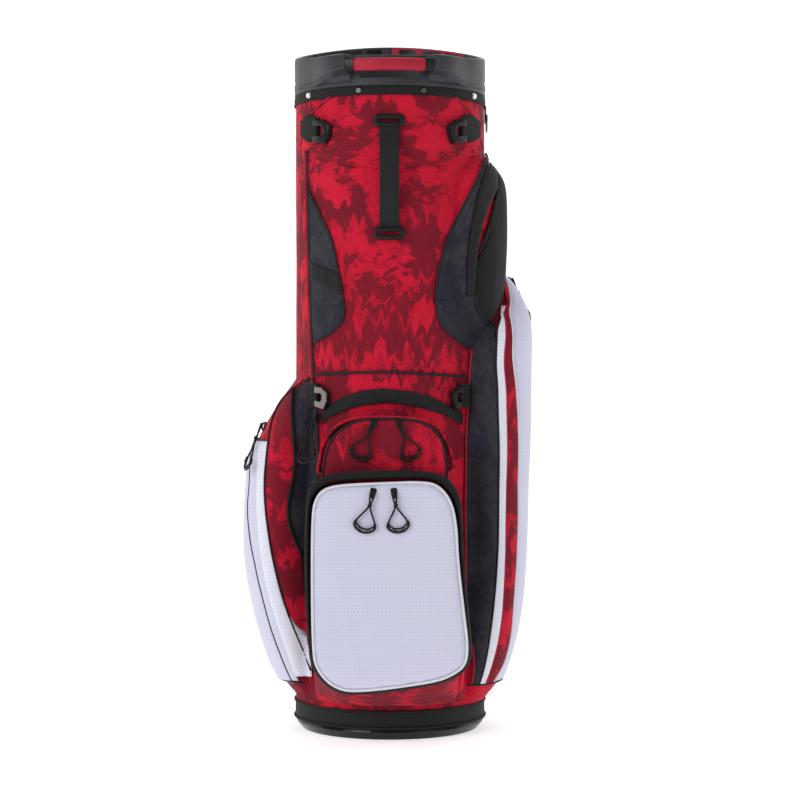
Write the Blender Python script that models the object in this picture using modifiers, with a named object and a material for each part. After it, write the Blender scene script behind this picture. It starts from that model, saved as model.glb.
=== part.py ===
"""Golf stand bag: one object for each sub-part, metres, +Z up, origin under the middle of the base.

The strap side faces -Y, the legs fold against the +Y side.
"""
import math

import bmesh
import bpy
from mathutils import Matrix, Vector

# ---------------------------------------------------------------- driving dimensions (metres, degrees)
GAP = 0.0003            # clearance between pieces that touch
PLAY = 0.0003           # radial clearance of a pin in its hole

TUBE_R = 0.1215         # outside of the fabric tube
TUBE_WALL = 0.0025
BASE_SEAT = 0.0128      # height of the ledge that the tube stands on
TUBE_TOP = 0.8155

RIM = 0.868             # collar rim at the sides
RIM_TILT = 0.021        # how much the rim climbs to the back
RIM_CURVE = 0.010
COLLAR_R = 0.1235
COLLAR_WALL = 0.007
SKIRT_DROP = 0.0455     # how far the collar reaches down inside the tube
SKIRT_WALL = 0.0093

BASE_LIP_R = 0.1215
BASE_FOOT_R = 0.114
BASE_LIP_Z = 0.010
BASE_WALL = 0.0098
BASE_WALL_TOP = 0.050
BASE_FLOOR = 0.006

STAY_R = 0.003          # stay rods
STAY_SEAT = 0.020       # how deep each end of a rod sits

DIVIDER_Z = (0.802, 0.826)
DIVIDER_RIB = 0.0035
DIVIDER_ROW = 0.056
PANEL_WALL = 0.0016

BINDING_WALL = 0.0013
BINDING_HEIGHT = 0.011
RIVET_HEAD_R = 0.0045
RIVET_SHANK_R = 0.0018
RIVET_ANGLES = (-56.0, -18.0, 20.0, 60.0)

GRIP_HALF = 22.5        # half the angle that a collar grip spans
WING_END = 56.0
WING_REACH = 0.018      # how far the wings and grips stand out
GRIP_LOW = 0.025        # from the rim down to the underside of a grip
GRIP_TALL = 0.017
GRIP_THICK = 0.012

HANDLE_Z = (0.632, 0.772)
HANDLE_WIDTH = 0.0254
HANDLE_WALL = 0.0022
HANDLE_BOW = 0.016
FRAME_SIZE = (0.040, 0.0062, 0.0165)

CLIP_ANGLE = 42.0
CLIP_WIDTH = 0.034
CLIP_TALL = 0.038
CLIP_THICK = 0.006
CLIP_TOPS = (0.781, 0.445)

LEG_X = 0.045
LEG_Y = 0.147
LEG_PIVOT_Z = 0.775
LEG_SPLAY = 22.0
LEG_R = 0.0065
LEG_LENGTH = 0.600
LEG_SWING = 32.0
LEG_PIN_R = 0.0025
LEG_HEAD_R = 0.0095
LEG_HEAD_WIDTH = 0.020
LEG_CRANK = 0.022
CRANK_HALF = 0.0035      # half the thickness of a crank
FOOT_R = 0.0105
FOOT_TALL = 0.045
EAR = 0.0040
BRACKET_Z = (0.752, 0.800)
BRACKET_HALF = 0.068
BRACKET_WALL = 0.004

WIRE_R = 0.0022
WIRE_Y = 0.1285
WIRE_X = 0.012
WIRE_OFFSET = 0.018      # how far beside a leg the wire rises, clear of its swing
WIRE_LIFT = 0.012       # travel of the wire between folded and open legs

KICK_HALF = 0.050
KICK_HINGE_Y = 0.032
KICK_HINGE_Z = 0.0085
KICK_REACH = 0.136
KICK_WALL = 0.006
KICK_CLEAR = 0.001      # height of the plate above the floor
KICK_PIN_R = 0.002
KICK_ROOM = 0.024       # height of the recess that the plate swings in

BALL_X = -0.004
BALL_HALF = 0.094
BALL_Z = (0.056, 0.336)
BALL_FRONT = -0.187
BALL_CORNER = 0.030
BALL_WALL = 0.004
DOOR_HALF = 0.0905
DOOR_Z = (0.072, 0.322)
DOOR_WALL = 0.005
DOOR_GAP = 0.001

ACCESSORY_HALF = 0.083
ACCESSORY_Z = (0.296, 0.404)
ACCESSORY_FRONT = -0.163
POCKET_WALL = 0.004

SLIDER = (0.008, 0.0045, 0.013)
CORD_R = 0.0011
PULL_WIDTH = 0.026

# ---------------------------------------------------------------- scene and helpers
for old in list(bpy.data.objects):
    bpy.data.objects.remove(old)

PARTS = bpy.data.collections.new("golf_stand_bag")
CUTTERS = bpy.data.collections.new("cutters")
bpy.context.scene.collection.children.link(PARTS)
bpy.context.scene.collection.children.link(CUTTERS)

FINISHES = {
    "red_fabric": ((0.56, 0.03, 0.08), 0.85, 0.0),
    "white_fabric": ((0.80, 0.80, 0.88), 0.75, 0.0),
    "dark_fabric": ((0.045, 0.043, 0.055), 0.90, 0.0),
    "black_webbing": ((0.018, 0.019, 0.019), 0.85, 0.0),
    "charcoal_plastic": ((0.060, 0.064, 0.072), 0.50, 0.0),
    "black_plastic": ((0.012, 0.012, 0.013), 0.35, 0.0),
    "red_rubber": ((0.45, 0.02, 0.05), 0.60, 0.0),
    "black_rubber": ((0.012, 0.012, 0.012), 0.80, 0.0),
    "aluminium": ((0.60, 0.60, 0.62), 0.35, 1.0),
    "steel": ((0.55, 0.55, 0.56), 0.30, 1.0),
}


def finish(name):
    """The Principled material of that name, made on first use."""
    material = bpy.data.materials.get(name)
    if material is None:
        color, roughness, metallic = FINISHES[name]
        material = bpy.data.materials.new(name)
        material.use_nodes = True
        shader = material.node_tree.nodes["Principled BSDF"]
        shader.inputs["Base Color"].default_value = (*color, 1.0)
        shader.inputs["Roughness"].default_value = roughness
        shader.inputs["Metallic"].default_value = metallic
    return material


def add_object(name, data, material=None):
    """Links an object for a sub-part, or a hidden cutter where no material is given."""
    obj = bpy.data.objects.new(name, data)
    if material is None:
        CUTTERS.objects.link(obj)
        obj.hide_render = True
        obj.display_type = "WIRE"
    else:
        PARTS.objects.link(obj)
        data.materials.append(finish(material))
    return obj


def add_bmesh(name, bm, material=None):
    bmesh.ops.recalc_face_normals(bm, faces=bm.faces)
    mesh = bpy.data.meshes.new(name)
    bm.to_mesh(mesh)
    bm.free()
    if material is not None:
        mesh.shade_smooth()
        mesh.set_sharp_from_angle(angle=math.radians(35))
    return add_object(name, mesh, material)


def set_origin(obj, point):
    """Puts the object's origin on its joint's axis and leaves its shape where it is."""
    obj.data.transform(Matrix.Translation(-Vector(point)))
    obj.location = point


def around(angle, radius, z=0.0):
    """A point at an angle from the strap side, positive towards +X."""
    a = math.radians(angle)
    return Vector((radius * math.sin(a), -radius * math.cos(a), z))


def box(name, low, high, material=None, bevel=0.0):
    low, high = Vector(low), Vector(high)
    bm = bmesh.new()
    bmesh.ops.create_cube(bm, size=1.0)
    bmesh.ops.scale(bm, vec=high - low, verts=bm.verts)
    bmesh.ops.translate(bm, vec=(low + high) / 2, verts=bm.verts)
    obj = add_bmesh(name, bm, material)
    if bevel:
        rounded = obj.modifiers.new("round", "BEVEL")
        rounded.width = bevel
        rounded.segments = 2
    return obj


def rod(name, start, end, radius, material=None, sides=20, end_radius=None):
    start, end = Vector(start), Vector(end)
    bm = bmesh.new()
    bmesh.ops.create_cone(
        bm, cap_ends=True, segments=sides, radius1=radius,
        radius2=radius if end_radius is None else end_radius, depth=(end - start).length)
    turn = (end - start).to_track_quat("Z", "Y").to_matrix().to_4x4()
    bmesh.ops.transform(bm, matrix=Matrix.Translation((start + end) / 2) @ turn, verts=bm.verts)
    return add_bmesh(name, bm, material)


def turned(name, profile, material=None, steps=64, closed=False):
    """A Screw of a profile of (radius, height) points, which runs down its outer side."""
    bm = bmesh.new()
    points = [bm.verts.new((r, 0.0, z)) for r, z in profile]
    for a, b in zip(points, points[1:]):
        bm.edges.new((a, b))
    if closed:
        bm.edges.new((points[-1], points[0]))
    mesh = bpy.data.meshes.new(name)
    bm.to_mesh(mesh)
    bm.free()
    obj = add_object(name, mesh, material)
    screw = obj.modifiers.new("turn", "SCREW")
    screw.steps = screw.render_steps = steps
    screw.use_merge_vertices = True
    screw.merge_threshold = 0.00001
    return obj


def loft(name, rings, material=None, closed=False):
    """Skins closed rings of points one to the next, and caps the ends unless it closes on itself."""
    bm = bmesh.new()
    rows = [[bm.verts.new(point) for point in ring] for ring in rings]
    pairs = list(zip(rows, rows[1:]))
    if closed:
        pairs.append((rows[-1], rows[0]))
    for one, two in pairs:
        for i in range(len(one)):
            j = (i + 1) % len(one)
            bm.faces.new((one[i], one[j], two[j], two[i]))
    if not closed:
        bm.faces.new(rows[0][::-1])
        bm.faces.new(rows[-1])
    return add_bmesh(name, bm, material)


def wire(name, points, radius, material, cyclic=False, swell=None):
    """A tube along a polyline, with a width for each point where swell gives one."""
    curve = bpy.data.curves.new(name, "CURVE")
    curve.dimensions = "3D"
    curve.bevel_depth = radius
    curve.bevel_resolution = 2
    curve.use_fill_caps = not cyclic
    spline = curve.splines.new("POLY")
    spline.points.add(len(points) - 1)
    for i, point in enumerate(points):
        spline.points[i].co = (*point, 1.0)
        spline.points[i].radius = swell[i] if swell else 1.0
    spline.use_cyclic_u = cyclic
    return add_object(name, curve, material)


def rounded_outline(low, high, corner, steps=5):
    """A rounded rectangle of 2-D points, counter-clockwise."""
    points = []
    for k, (cx, cy) in enumerate(((high[0], high[1]), (low[0], high[1]), (low[0], low[1]), (high[0], low[1]))):
        sx = -1 if k in (0, 3) else 1
        sy = -1 if k in (0, 1) else 1
        for i in range(steps + 1):
            a = math.radians(90 * (k + i / steps))
            points.append((cx + sx * corner + corner * math.cos(a), cy + sy * corner + corner * math.sin(a)))
    return points


def prism(name, outline, front, back, material=None):
    """An outline of (x, z) points, from one depth to another."""
    return loft(name, [[(x, y, z) for x, z in outline] for y in (front, back)], material)


def boolean(obj, other, operation="DIFFERENCE"):
    step = obj.modifiers.new(operation.lower(), "BOOLEAN")
    step.operation = operation
    step.object = other


def rim(y):
    share = y / COLLAR_R
    return RIM + RIM_TILT * share + RIM_CURVE * share * share


# ---------------------------------------------------------------- base, kick plate, stays
INNER_R = TUBE_R - TUBE_WALL
SEAT_R = INNER_R - GAP * 2


def stay_point(angle):
    radius = SEAT_R - SKIRT_WALL / 2
    return around(angle, radius)


def make_base():
    inner = SEAT_R - BASE_WALL
    base = turned("base_cup", [
        (0.0, BASE_FLOOR), (inner, BASE_FLOOR), (inner, BASE_WALL_TOP), (SEAT_R, BASE_WALL_TOP),
        (SEAT_R, BASE_SEAT), (BASE_LIP_R - 0.001, BASE_SEAT), (BASE_LIP_R, BASE_LIP_Z),
        (BASE_FOOT_R, 0.001), (BASE_FOOT_R - 0.002, 0.0), (0.0, 0.0)], "black_plastic")
    housing = box("base_housing_shape", (-KICK_HALF - 0.005, KICK_HINGE_Y - 0.011, 0.0005),
                  (KICK_HALF + 0.005, inner * 0.86, KICK_ROOM + 0.004))
    boolean(base, housing, "UNION")
    recess = box("base_recess_cut", (-KICK_HALF - 0.001, KICK_HINGE_Y - 0.007, -0.01),
                 (KICK_HALF + 0.001, BASE_LIP_R + 0.02, KICK_ROOM))
    boolean(base, recess)
    boolean(base, rod("kick_pin_cut", (-KICK_HALF - 0.0046, KICK_HINGE_Y, KICK_HINGE_Z),
                      (KICK_HALF + 0.0046, KICK_HINGE_Y, KICK_HINGE_Z), KICK_PIN_R + PLAY))
    plate = box("kick_plate", (-KICK_HALF, KICK_HINGE_Y, KICK_CLEAR),
                (KICK_HALF, KICK_REACH, KICK_CLEAR + KICK_WALL), "black_plastic")
    boolean(plate, rod("kick_barrel_shape", (-KICK_HALF, KICK_HINGE_Y, KICK_HINGE_Z),
                       (KICK_HALF, KICK_HINGE_Y, KICK_HINGE_Z), 0.0055), "UNION")
    boolean(plate, rod("kick_bore_cut", (-KICK_HALF - 0.01, KICK_HINGE_Y, KICK_HINGE_Z),
                       (KICK_HALF + 0.01, KICK_HINGE_Y, KICK_HINGE_Z), KICK_PIN_R + PLAY))
    set_origin(plate, (0.0, KICK_HINGE_Y, KICK_HINGE_Z))
    rod("kick_plate_pin", (-KICK_HALF - 0.004, KICK_HINGE_Y, KICK_HINGE_Z),
        (KICK_HALF + 0.004, KICK_HINGE_Y, KICK_HINGE_Z), KICK_PIN_R, "steel", 12)
    return base


def make_stays(base, collar):
    low = BASE_WALL_TOP - STAY_SEAT
    high = TUBE_TOP - SKIRT_DROP + STAY_SEAT
    for name, angle in (("front_left", -45), ("front_right", 45), ("rear_left", -135), ("rear_right", 135)):
        foot = stay_point(angle)
        up = Vector((0, 0, 1))
        rod("stay_rod_" + name, foot + up * low, foot + up * high, STAY_R, "aluminium", 12)
        boolean(base, rod("stay_seat_cut_" + name, foot + up * (low - GAP), foot + up * (BASE_WALL_TOP + 0.01),
                          STAY_R + PLAY, sides=12))
        boolean(collar, rod("stay_socket_cut_" + name, foot + up * (TUBE_TOP - SKIRT_DROP - 0.01),
                            foot + up * (high + GAP), STAY_R + PLAY, sides=12))


# ---------------------------------------------------------------- collar, dividers, grips
def wing(angle):
    """How far the collar stands out for the wings beside its two grips."""
    off = abs((angle + 180) % 360 - 180)
    off = min(off, 180 - off)
    if off < GRIP_HALF or off > WING_END:
        return 0.0
    share = (off - GRIP_HALF) / (WING_END - GRIP_HALF)
    return WING_REACH * (1 - share * share * (3 - 2 * share))


def collar_angles():
    angles = [i * 5.0 for i in range(72)]
    for middle in (0, 180):
        for side in (-1, 1):
            angles += [(middle + side * (GRIP_HALF - 0.2)) % 360, (middle + side * (GRIP_HALF + 0.2)) % 360]
    return sorted(a for a in angles if abs(min(a % 180, 180 - a % 180) - GRIP_HALF) > 0.1)


def make_collar():
    rings = []
    for angle in collar_angles():
        top = rim(around(angle, COLLAR_R).y)
        out = COLLAR_R + wing(angle)
        inside = COLLAR_R - COLLAR_WALL
        low = TUBE_TOP - SKIRT_DROP
        section = [
            (SEAT_R, low), (SEAT_R, TUBE_TOP + GAP), (COLLAR_R - 0.001, TUBE_TOP + GAP),
            (COLLAR_R, TUBE_TOP + 0.006), (out, top - GRIP_LOW - 0.004), (out, top - 0.003), (out - 0.003, top),
            (inside + 0.002, top), (inside, top - 0.002), (inside, DIVIDER_Z[0] - GAP),
            (SEAT_R - SKIRT_WALL, DIVIDER_Z[0] - GAP - 0.006), (SEAT_R - SKIRT_WALL, low)]
        rings.append([around(angle, r, z) for r, z in section])
    collar = loft("collar", rings, "charcoal_plastic", closed=True)
    for side, y in (("front", -COLLAR_R), ("rear", COLLAR_R)):
        top = rim(y)
        window = box("finger_window_cut_" + side, (-0.038, min(y * 0.8, y * 1.1), top - GRIP_LOW - 0.006),
                     (0.038, max(y * 0.8, y * 1.1), top - 0.012))
        boolean(collar, window)
    return collar


def make_grips():
    """Each grip spans the gap between two wings, which its ends plug against."""
    for name, middle in (("front_grip", 0), ("rear_grip", 180)):
        top = rim(around(middle, COLLAR_R).y) - GRIP_LOW + GRIP_TALL
        outer = COLLAR_R + WING_REACH
        inner = outer - GRIP_THICK
        low = top - GRIP_TALL
        c = 0.004
        section = [(inner + c, low), (outer - c, low), (outer, low + c), (outer, top - c), (outer - c, top),
                   (inner + c, top), (inner, top - c), (inner, low + c)]
        span = GRIP_HALF - 0.4
        rings = [[around(middle - span + 2 * span * i / 10, r, z) for r, z in section] for i in range(11)]
        loft(name, rings, "red_rubber")


def make_dividers():
    radius = COLLAR_R - COLLAR_WALL - GAP * 2
    grid = turned("top_divider", [(0, DIVIDER_Z[1]), (radius, DIVIDER_Z[1]), (radius, DIVIDER_Z[0]),
                                  (0, DIVIDER_Z[0])], "black_plastic")
    half = DIVIDER_RIB / 2
    well = radius - 0.004
    for side in (-1, 1):
        for row in range(4):
            y_low = (row - 2) * DIVIDER_ROW + half
            y_high = (row - 1) * DIVIDER_ROW - half
            outline = []
            for step in range(7):
                y = y_low + (y_high - y_low) * step / 6
                outline.append((math.sqrt(max(well * well - y * y, half * half * 4)), y))
            if row == 0:
                outline = [point for point in outline if abs(point[1]) < well]
                outline.insert(0, (half * 3, -math.sqrt(well * well - 9 * half * half)))
            if row == 3:
                outline = [point for point in outline if abs(point[1]) < well]
                outline.append((half * 3, math.sqrt(well * well - 9 * half * half)))
            outline = [(half, outline[0][1])] + outline + [(half, outline[-1][1])]
            rings = [[(side * x, y, z) for x, y in outline] for z in (DIVIDER_Z[0] - 0.01, DIVIDER_Z[1] + 0.01)]
            boolean(grid, loft("well_cut_%d_%d" % (side + 1, row), rings))
    reach = SEAT_R - max(BASE_WALL, SKIRT_WALL) - 0.001
    low, high = KICK_ROOM + 0.006, DIVIDER_Z[0] - 0.0008
    half = PANEL_WALL / 2
    cross = [(reach, half), (half, half), (half, reach), (-half, reach), (-half, half), (-reach, half),
             (-reach, -half), (-half, -half), (-half, -reach), (half, -reach), (half, -half), (reach, -half)]
    loft("divider_panels", [[(x, y, z) for x, y in cross] for z in (low, high)], "dark_fabric")


# ---------------------------------------------------------------- tube, binding, rivets
def make_tube(collar):
    shell = turned("body_shell", [(TUBE_R, TUBE_TOP), (TUBE_R, BASE_SEAT + GAP), (INNER_R, BASE_SEAT + GAP),
                                  (INNER_R, TUBE_TOP)], "red_fabric", closed=True)
    inner = TUBE_R + GAP
    outer = inner + BINDING_WALL
    low = TUBE_TOP - BINDING_HEIGHT
    band = turned("top_binding", [(outer, TUBE_TOP), (outer, low), (inner, low), (inner, TUBE_TOP)],
                  "black_webbing", closed=True)
    height = TUBE_TOP - BINDING_HEIGHT / 2
    for number, angle in enumerate(RIVET_ANGLES, 1):
        head = outer + GAP
        rivet = rod("rivet_%d" % number, around(angle, head, height), around(angle, head + 0.0022, height),
                    RIVET_HEAD_R, "steel", 16, RIVET_HEAD_R * 0.7)
        shank = rod("rivet_shank_%d" % number, around(angle, COLLAR_R - COLLAR_WALL + GAP, height),
                    around(angle, head + 0.001, height), RIVET_SHANK_R, sides=10)
        boolean(rivet, shank, "UNION")
        hole = rod("rivet_hole_cut_%d" % number, around(angle, COLLAR_R - COLLAR_WALL - 0.002, height),
                   around(angle, head + 0.01, height), RIVET_SHANK_R + PLAY, sides=10)
        for piece in (shell, band, collar):
            boolean(piece, hole)
    boolean(shell, box("kick_room_cut", (-KICK_HALF - 0.003, 0.080, -0.1),
                       (KICK_HALF + 0.003, 0.140, KICK_ROOM + 0.003)))


# ---------------------------------------------------------------- spine handle and strap clips
def make_handle():
    face = -TUBE_R - 0.0008
    low, high = HANDLE_Z
    half = HANDLE_WIDTH / 2
    rings = []
    for i in range(13):
        share = i / 12
        free = min(max((share - 0.1) / 0.8, 0.0), 1.0)
        y = face - 0.0018 - HANDLE_BOW * math.sin(math.pi * free)
        z = low + (high - low) * share
        rings.append([(-half, y, z), (half, y, z), (half, y - HANDLE_WALL, z), (-half, y - HANDLE_WALL, z)])
    loft("spine_handle", rings, "black_webbing")
    wide, thick, tall = FRAME_SIZE
    for name, z in (("handle_frame_upper", high), ("handle_frame_lower", low)):
        frame = box(name, (-wide / 2, face - thick, z - tall / 2), (wide / 2, face, z + tall / 2),
                    "black_plastic", 0.0015)
        reach = 0.003
        slot_low, slot_high = (z - tall, z + reach) if z == high else (z - reach, z + tall)
        slot = box(name + "_slot_cut", (-half - 0.0012, face - thick + 0.0008, slot_low),
                   (half + 0.0012, face - 0.0012, slot_high))
        boolean(frame, slot)


def clip_frame(angle, z):
    """Places a piece drawn in X (across) and Z (down from its hinge) against the tube at an angle."""
    turn = Matrix.Rotation(math.radians(angle), 4, "Z")
    return Matrix.Translation(around(angle, TUBE_R, z)) @ turn


def make_clips():
    """Hook-shaped plates with a notch that a shoulder strap's clip drops into."""
    for row, top in zip(("upper", "lower"), CLIP_TOPS):
        for side, sign in (("left", -1), ("right", 1)):
            w, t = CLIP_WIDTH, CLIP_TALL
            if row == "lower":
                w, t = CLIP_WIDTH * 0.72, CLIP_TALL * 0.9
            outline = [(-0.5 * w, 0.0), (0.32 * w, -0.06 * t), (0.5 * w, -0.2 * t), (0.5 * w, -0.34 * t),
                       (0.1 * w, -0.34 * t), (0.08 * w, -0.62 * t), (0.42 * w, -0.86 * t), (0.4 * w, -t),
                       (0.2 * w, -t), (-0.5 * w, -0.62 * t)]
            rings = [[(sign * x, -0.0035 - depth, z) for x, z in outline] for depth in (0.0, CLIP_THICK)]
            clip = loft("clip_%s_%s" % (row, side), rings, "black_plastic")
            place = clip_frame(sign * CLIP_ANGLE, top)
            clip.data.transform(place)
            bm = bmesh.new()
            bm.from_mesh(clip.data)
            bmesh.ops.recalc_face_normals(bm, faces=bm.faces)
            bm.to_mesh(clip.data)
            bm.free()
            set_origin(clip, place @ Vector((0.0, -0.0035 - CLIP_THICK / 2, 0.0)))


def make_ring():
    """Towel ring on the right of the collar, and the webbing tab that it hangs from."""
    top = TUBE_TOP - BINDING_HEIGHT - 0.001
    out = TUBE_R + 0.0006
    box("ring_tab", (out, -0.009, top - 0.020), (out + 0.0016, 0.009, top), "black_webbing")
    major, minor = 0.011, 0.0014
    middle = Vector((out + 0.0016 + minor + 0.0006, 0.0, top - 0.010 - major))
    points = [middle + Vector((0, major * math.sin(a), major * math.cos(a)))
              for a in (2 * math.pi * i / 24 for i in range(24))]
    ring = wire("towel_ring", points, minor, "steel", cyclic=True)
    set_origin(ring, middle + Vector((0, 0, major)))


# ---------------------------------------------------------------- legs and their linkage
def leg_turn(sign):
    """Rotation that sends +Y to the leg's swing direction."""
    return Matrix.Rotation(math.radians(-sign * LEG_SPLAY), 4, "Z")


def make_legs():
    plate_y = TUBE_R + 0.0006
    outer = plate_y + BRACKET_WALL
    span = math.degrees(math.asin(BRACKET_HALF / TUBE_R))
    rings = []
    for i in range(13):
        angle = 180 - span + 2 * span * i / 12
        rings.append([around(angle, r, z) for r, z in ((plate_y, BRACKET_Z[0]), (outer, BRACKET_Z[0]),
                                                      (outer, BRACKET_Z[1]), (plate_y, BRACKET_Z[1]))])
    bracket = loft("leg_bracket", rings, "black_plastic")
    for side, sign in (("left", -1), ("right", 1)):
        pivot = Vector((sign * LEG_X, LEG_Y, LEG_PIVOT_Z))
        turn = leg_turn(sign)
        place = Matrix.Translation(pivot) @ turn
        across = turn @ Vector((1, 0, 0))
        half = LEG_HEAD_WIDTH / 2
        for n, ear_side in enumerate((-1, 1)):
            start = ear_side * (half + 0.0005)
            end = ear_side * (half + 0.0005 + EAR)
            ear = box("ear_shape_%s_%d" % (side, n), (min(start, end), -0.030, -0.011),
                      (max(start, end), 0.008, 0.011))
            ear.data.transform(place)
            boolean(bracket, ear, "UNION")
        reach = half + EAR + 0.0005
        boolean(bracket, rod("leg_pin_cut_" + side, pivot - across * (reach + 0.004),
                             pivot + across * (reach + 0.004), LEG_PIN_R + PLAY, sides=16))
        rod("leg_pin_" + side, pivot - across * (reach + 0.0015), pivot + across * (reach + 0.0015),
            LEG_PIN_R, "steel", 16)
        head = rod("leg_head_" + side, pivot - across * half, pivot + across * half, LEG_HEAD_R,
                   "black_plastic", 24)
        socket = rod("leg_socket_shape_" + side, pivot, pivot - Vector((0, 0, 0.034)), LEG_R + 0.0025)
        boolean(head, socket, "UNION")
        crank = box("leg_crank_shape_" + side, (-0.004, 0.0, -CRANK_HALF), (0.004, LEG_CRANK + 0.005, CRANK_HALF))
        crank.data.transform(place)
        boolean(head, crank, "UNION")
        boolean(head, rod("leg_bore_cut_" + side, pivot - across * 0.02, pivot + across * 0.02,
                          LEG_PIN_R + PLAY, sides=16))
        boolean(head, rod("leg_seat_cut_" + side, pivot - Vector((0, 0, 0.012)), pivot - Vector((0, 0, 0.05)),
                          LEG_R + GAP, sides=24))
        top = pivot - Vector((0, 0, 0.0125))
        end = pivot - Vector((0, 0, LEG_LENGTH))
        rod("leg_tube_" + side, top, end, LEG_R, "aluminium", 24)
        foot = rod("leg_foot_" + side, end + Vector((0, 0, 0.022)), end - Vector((0, 0, FOOT_TALL - 0.022)),
                   FOOT_R * 0.9, "black_rubber", 20, FOOT_R)
        boolean(foot, rod("foot_socket_cut_" + side, end + Vector((0, 0, 0.05)), end - Vector((0, 0, GAP)),
                          LEG_R + GAP, sides=24))
        set_origin(head, pivot)
        set_origin(bpy.data.objects["leg_tube_" + side], pivot)
        set_origin(foot, pivot)
    boolean(bracket, turned("tube_clear_cut", [(TUBE_R + 0.0004, 0.9), (TUBE_R + 0.0004, 0.6), (0.0, 0.6),
                                               (0.0, 0.9)], closed=True))


def make_linkage():
    """U-shaped wire: its ends lift the leg cranks, its bend rests on the kick plate."""
    low = KICK_CLEAR + KICK_WALL + 0.0015 + WIRE_R
    top = LEG_PIVOT_Z - CRANK_HALF - 0.003 - WIRE_R
    pivot = Vector((LEG_X, LEG_Y, 0.0))
    across, outward = leg_turn(1) @ Vector((1, 0, 0)), leg_turn(1) @ Vector((0, 1, 0))
    hook = pivot + outward * LEG_CRANK
    riser = hook - across * WIRE_OFFSET

    def spot(point, z):
        return (point.x, point.y, z)

    half_run = [(WIRE_X * 0.5, WIRE_Y, low), (WIRE_X * 0.85, WIRE_Y, low + 0.002), (WIRE_X, WIRE_Y, low + 0.006),
                (WIRE_X, WIRE_Y, 0.66), (WIRE_X + 0.001, WIRE_Y + 0.004, 0.68), (0.022, 0.151, 0.705),
                (0.031, 0.168, 0.728), spot(riser, 0.745), spot(riser, top - 0.006),
                spot(riser + across * 0.0015, top - 0.0015), spot(riser + across * 0.006, top),
                spot(hook + across * 0.003, top)]
    points = [(-x, y, z) for x, y, z in reversed(half_run)] + half_run
    wire("actuator_wire", points, WIRE_R, "steel")
    face = TUBE_R + 0.0006
    guide = box("wire_guide", (-0.022, face, 0.345), (0.022, WIRE_Y + WIRE_R + 0.003, 0.365),
                "black_plastic", 0.0015)
    for sign in (-1, 1):
        boolean(guide, rod("guide_cut_%d" % (sign + 1), (sign * WIRE_X, WIRE_Y, 0.33),
                           (sign * WIRE_X, WIRE_Y, 0.38), WIRE_R + 0.0005, sides=12))
    bumper = box("leg_bumper", (-0.064, 0.100, 0.250), (0.064, LEG_Y - LEG_R - 0.001, 0.275),
                 "black_rubber")
    boolean(bumper, turned("bumper_clear_cut", [(TUBE_R + 0.0006, 0.3), (TUBE_R + 0.0006, 0.2), (0.0, 0.2),
                                                (0.0, 0.3)], closed=True))
    boolean(bumper, box("bumper_wire_cut", (-WIRE_X - WIRE_R - 0.002, WIRE_Y - WIRE_R - 0.002, 0.2),
                        (WIRE_X + WIRE_R + 0.002, 0.2, 0.3)))


# ---------------------------------------------------------------- pockets
def blister(name, rows, sign, material, power=2.8, steps=14, wall=POCKET_WALL):
    """A pocket that stands out from the tube. Rows are (height, first angle, last angle, reach)."""
    bm = bmesh.new()
    grid = []
    for z, first, last, reach in rows:
        line = []
        for i in range(steps + 1):
            share = i / steps
            angle = first + (last - first) * share
            swell = (1 - abs(2 * share - 1) ** power) ** (1 / power)
            line.append(bm.verts.new(around(sign * angle, TUBE_R - 0.002 + reach * swell, z)))
        grid.append(line)
    for one, two in zip(grid, grid[1:]):
        for i in range(steps):
            bm.faces.new((one[i], one[i + 1], two[i + 1], two[i]))
    bmesh.ops.recalc_face_normals(bm, faces=bm.faces)
    middle = grid[len(grid) // 2][steps // 2]
    outward = Vector((middle.co.x, middle.co.y, 0.0))
    if middle.normal.dot(outward) < 0:
        bmesh.ops.reverse_faces(bm, faces=bm.faces)
    mesh = bpy.data.meshes.new(name)
    bm.to_mesh(mesh)
    bm.free()
    obj = add_object(name, mesh, material)
    mesh.shade_smooth()
    skin = obj.modifiers.new("wall", "SOLIDIFY")
    skin.thickness = wall
    skin.offset = -1.0
    clear = turned(name + "_tube_cut", [(TUBE_R + 0.0004, 0.95), (TUBE_R + 0.0004, -0.1), (0.0, -0.1), (0.0, 0.95)],
                   closed=True)
    boolean(obj, clear)
    return obj


def make_side_pockets():
    blister("left_pocket", [
        (0.046, 58, 132, 0.006), (0.069, 57, 136, 0.024), (0.105, 57, 138, 0.040), (0.150, 57, 140, 0.054),
        (0.210, 57, 140, 0.064), (0.270, 57, 140, 0.0665), (0.330, 57, 140, 0.064), (0.350, 51, 140, 0.060),
        (0.368, 50, 139, 0.055), (0.388, 50, 138, 0.046), (0.410, 51, 136, 0.033), (0.432, 53, 133, 0.018),
        (0.448, 56, 128, 0.006)], -1, "red_fabric")
    blister("right_pocket", [
        (0.040, 54, 130, 0.006), (0.060, 53, 134, 0.022), (0.090, 52, 136, 0.034), (0.140, 52, 138, 0.046),
        (0.200, 52, 138, 0.053), (0.280, 52, 138, 0.056), (0.360, 52, 138, 0.059), (0.430, 53, 138, 0.060),
        (0.465, 58, 138, 0.063), (0.495, 86, 139, 0.069), (0.515, 97, 140, 0.073), (0.540, 99, 140, 0.067),
        (0.562, 100, 139, 0.060), (0.588, 102, 137, 0.046), (0.602, 106, 134, 0.014)], 1, "white_fabric")
    blister("bottle_sleeve", [
        (0.508, 62, 94, 0.006), (0.525, 50, 96, 0.020), (0.560, 42, 97, 0.027), (0.610, 40, 97, 0.029),
        (0.650, 42, 97, 0.029), (0.690, 50, 97, 0.028)], 1, "dark_fabric", wall=0.003)


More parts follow.
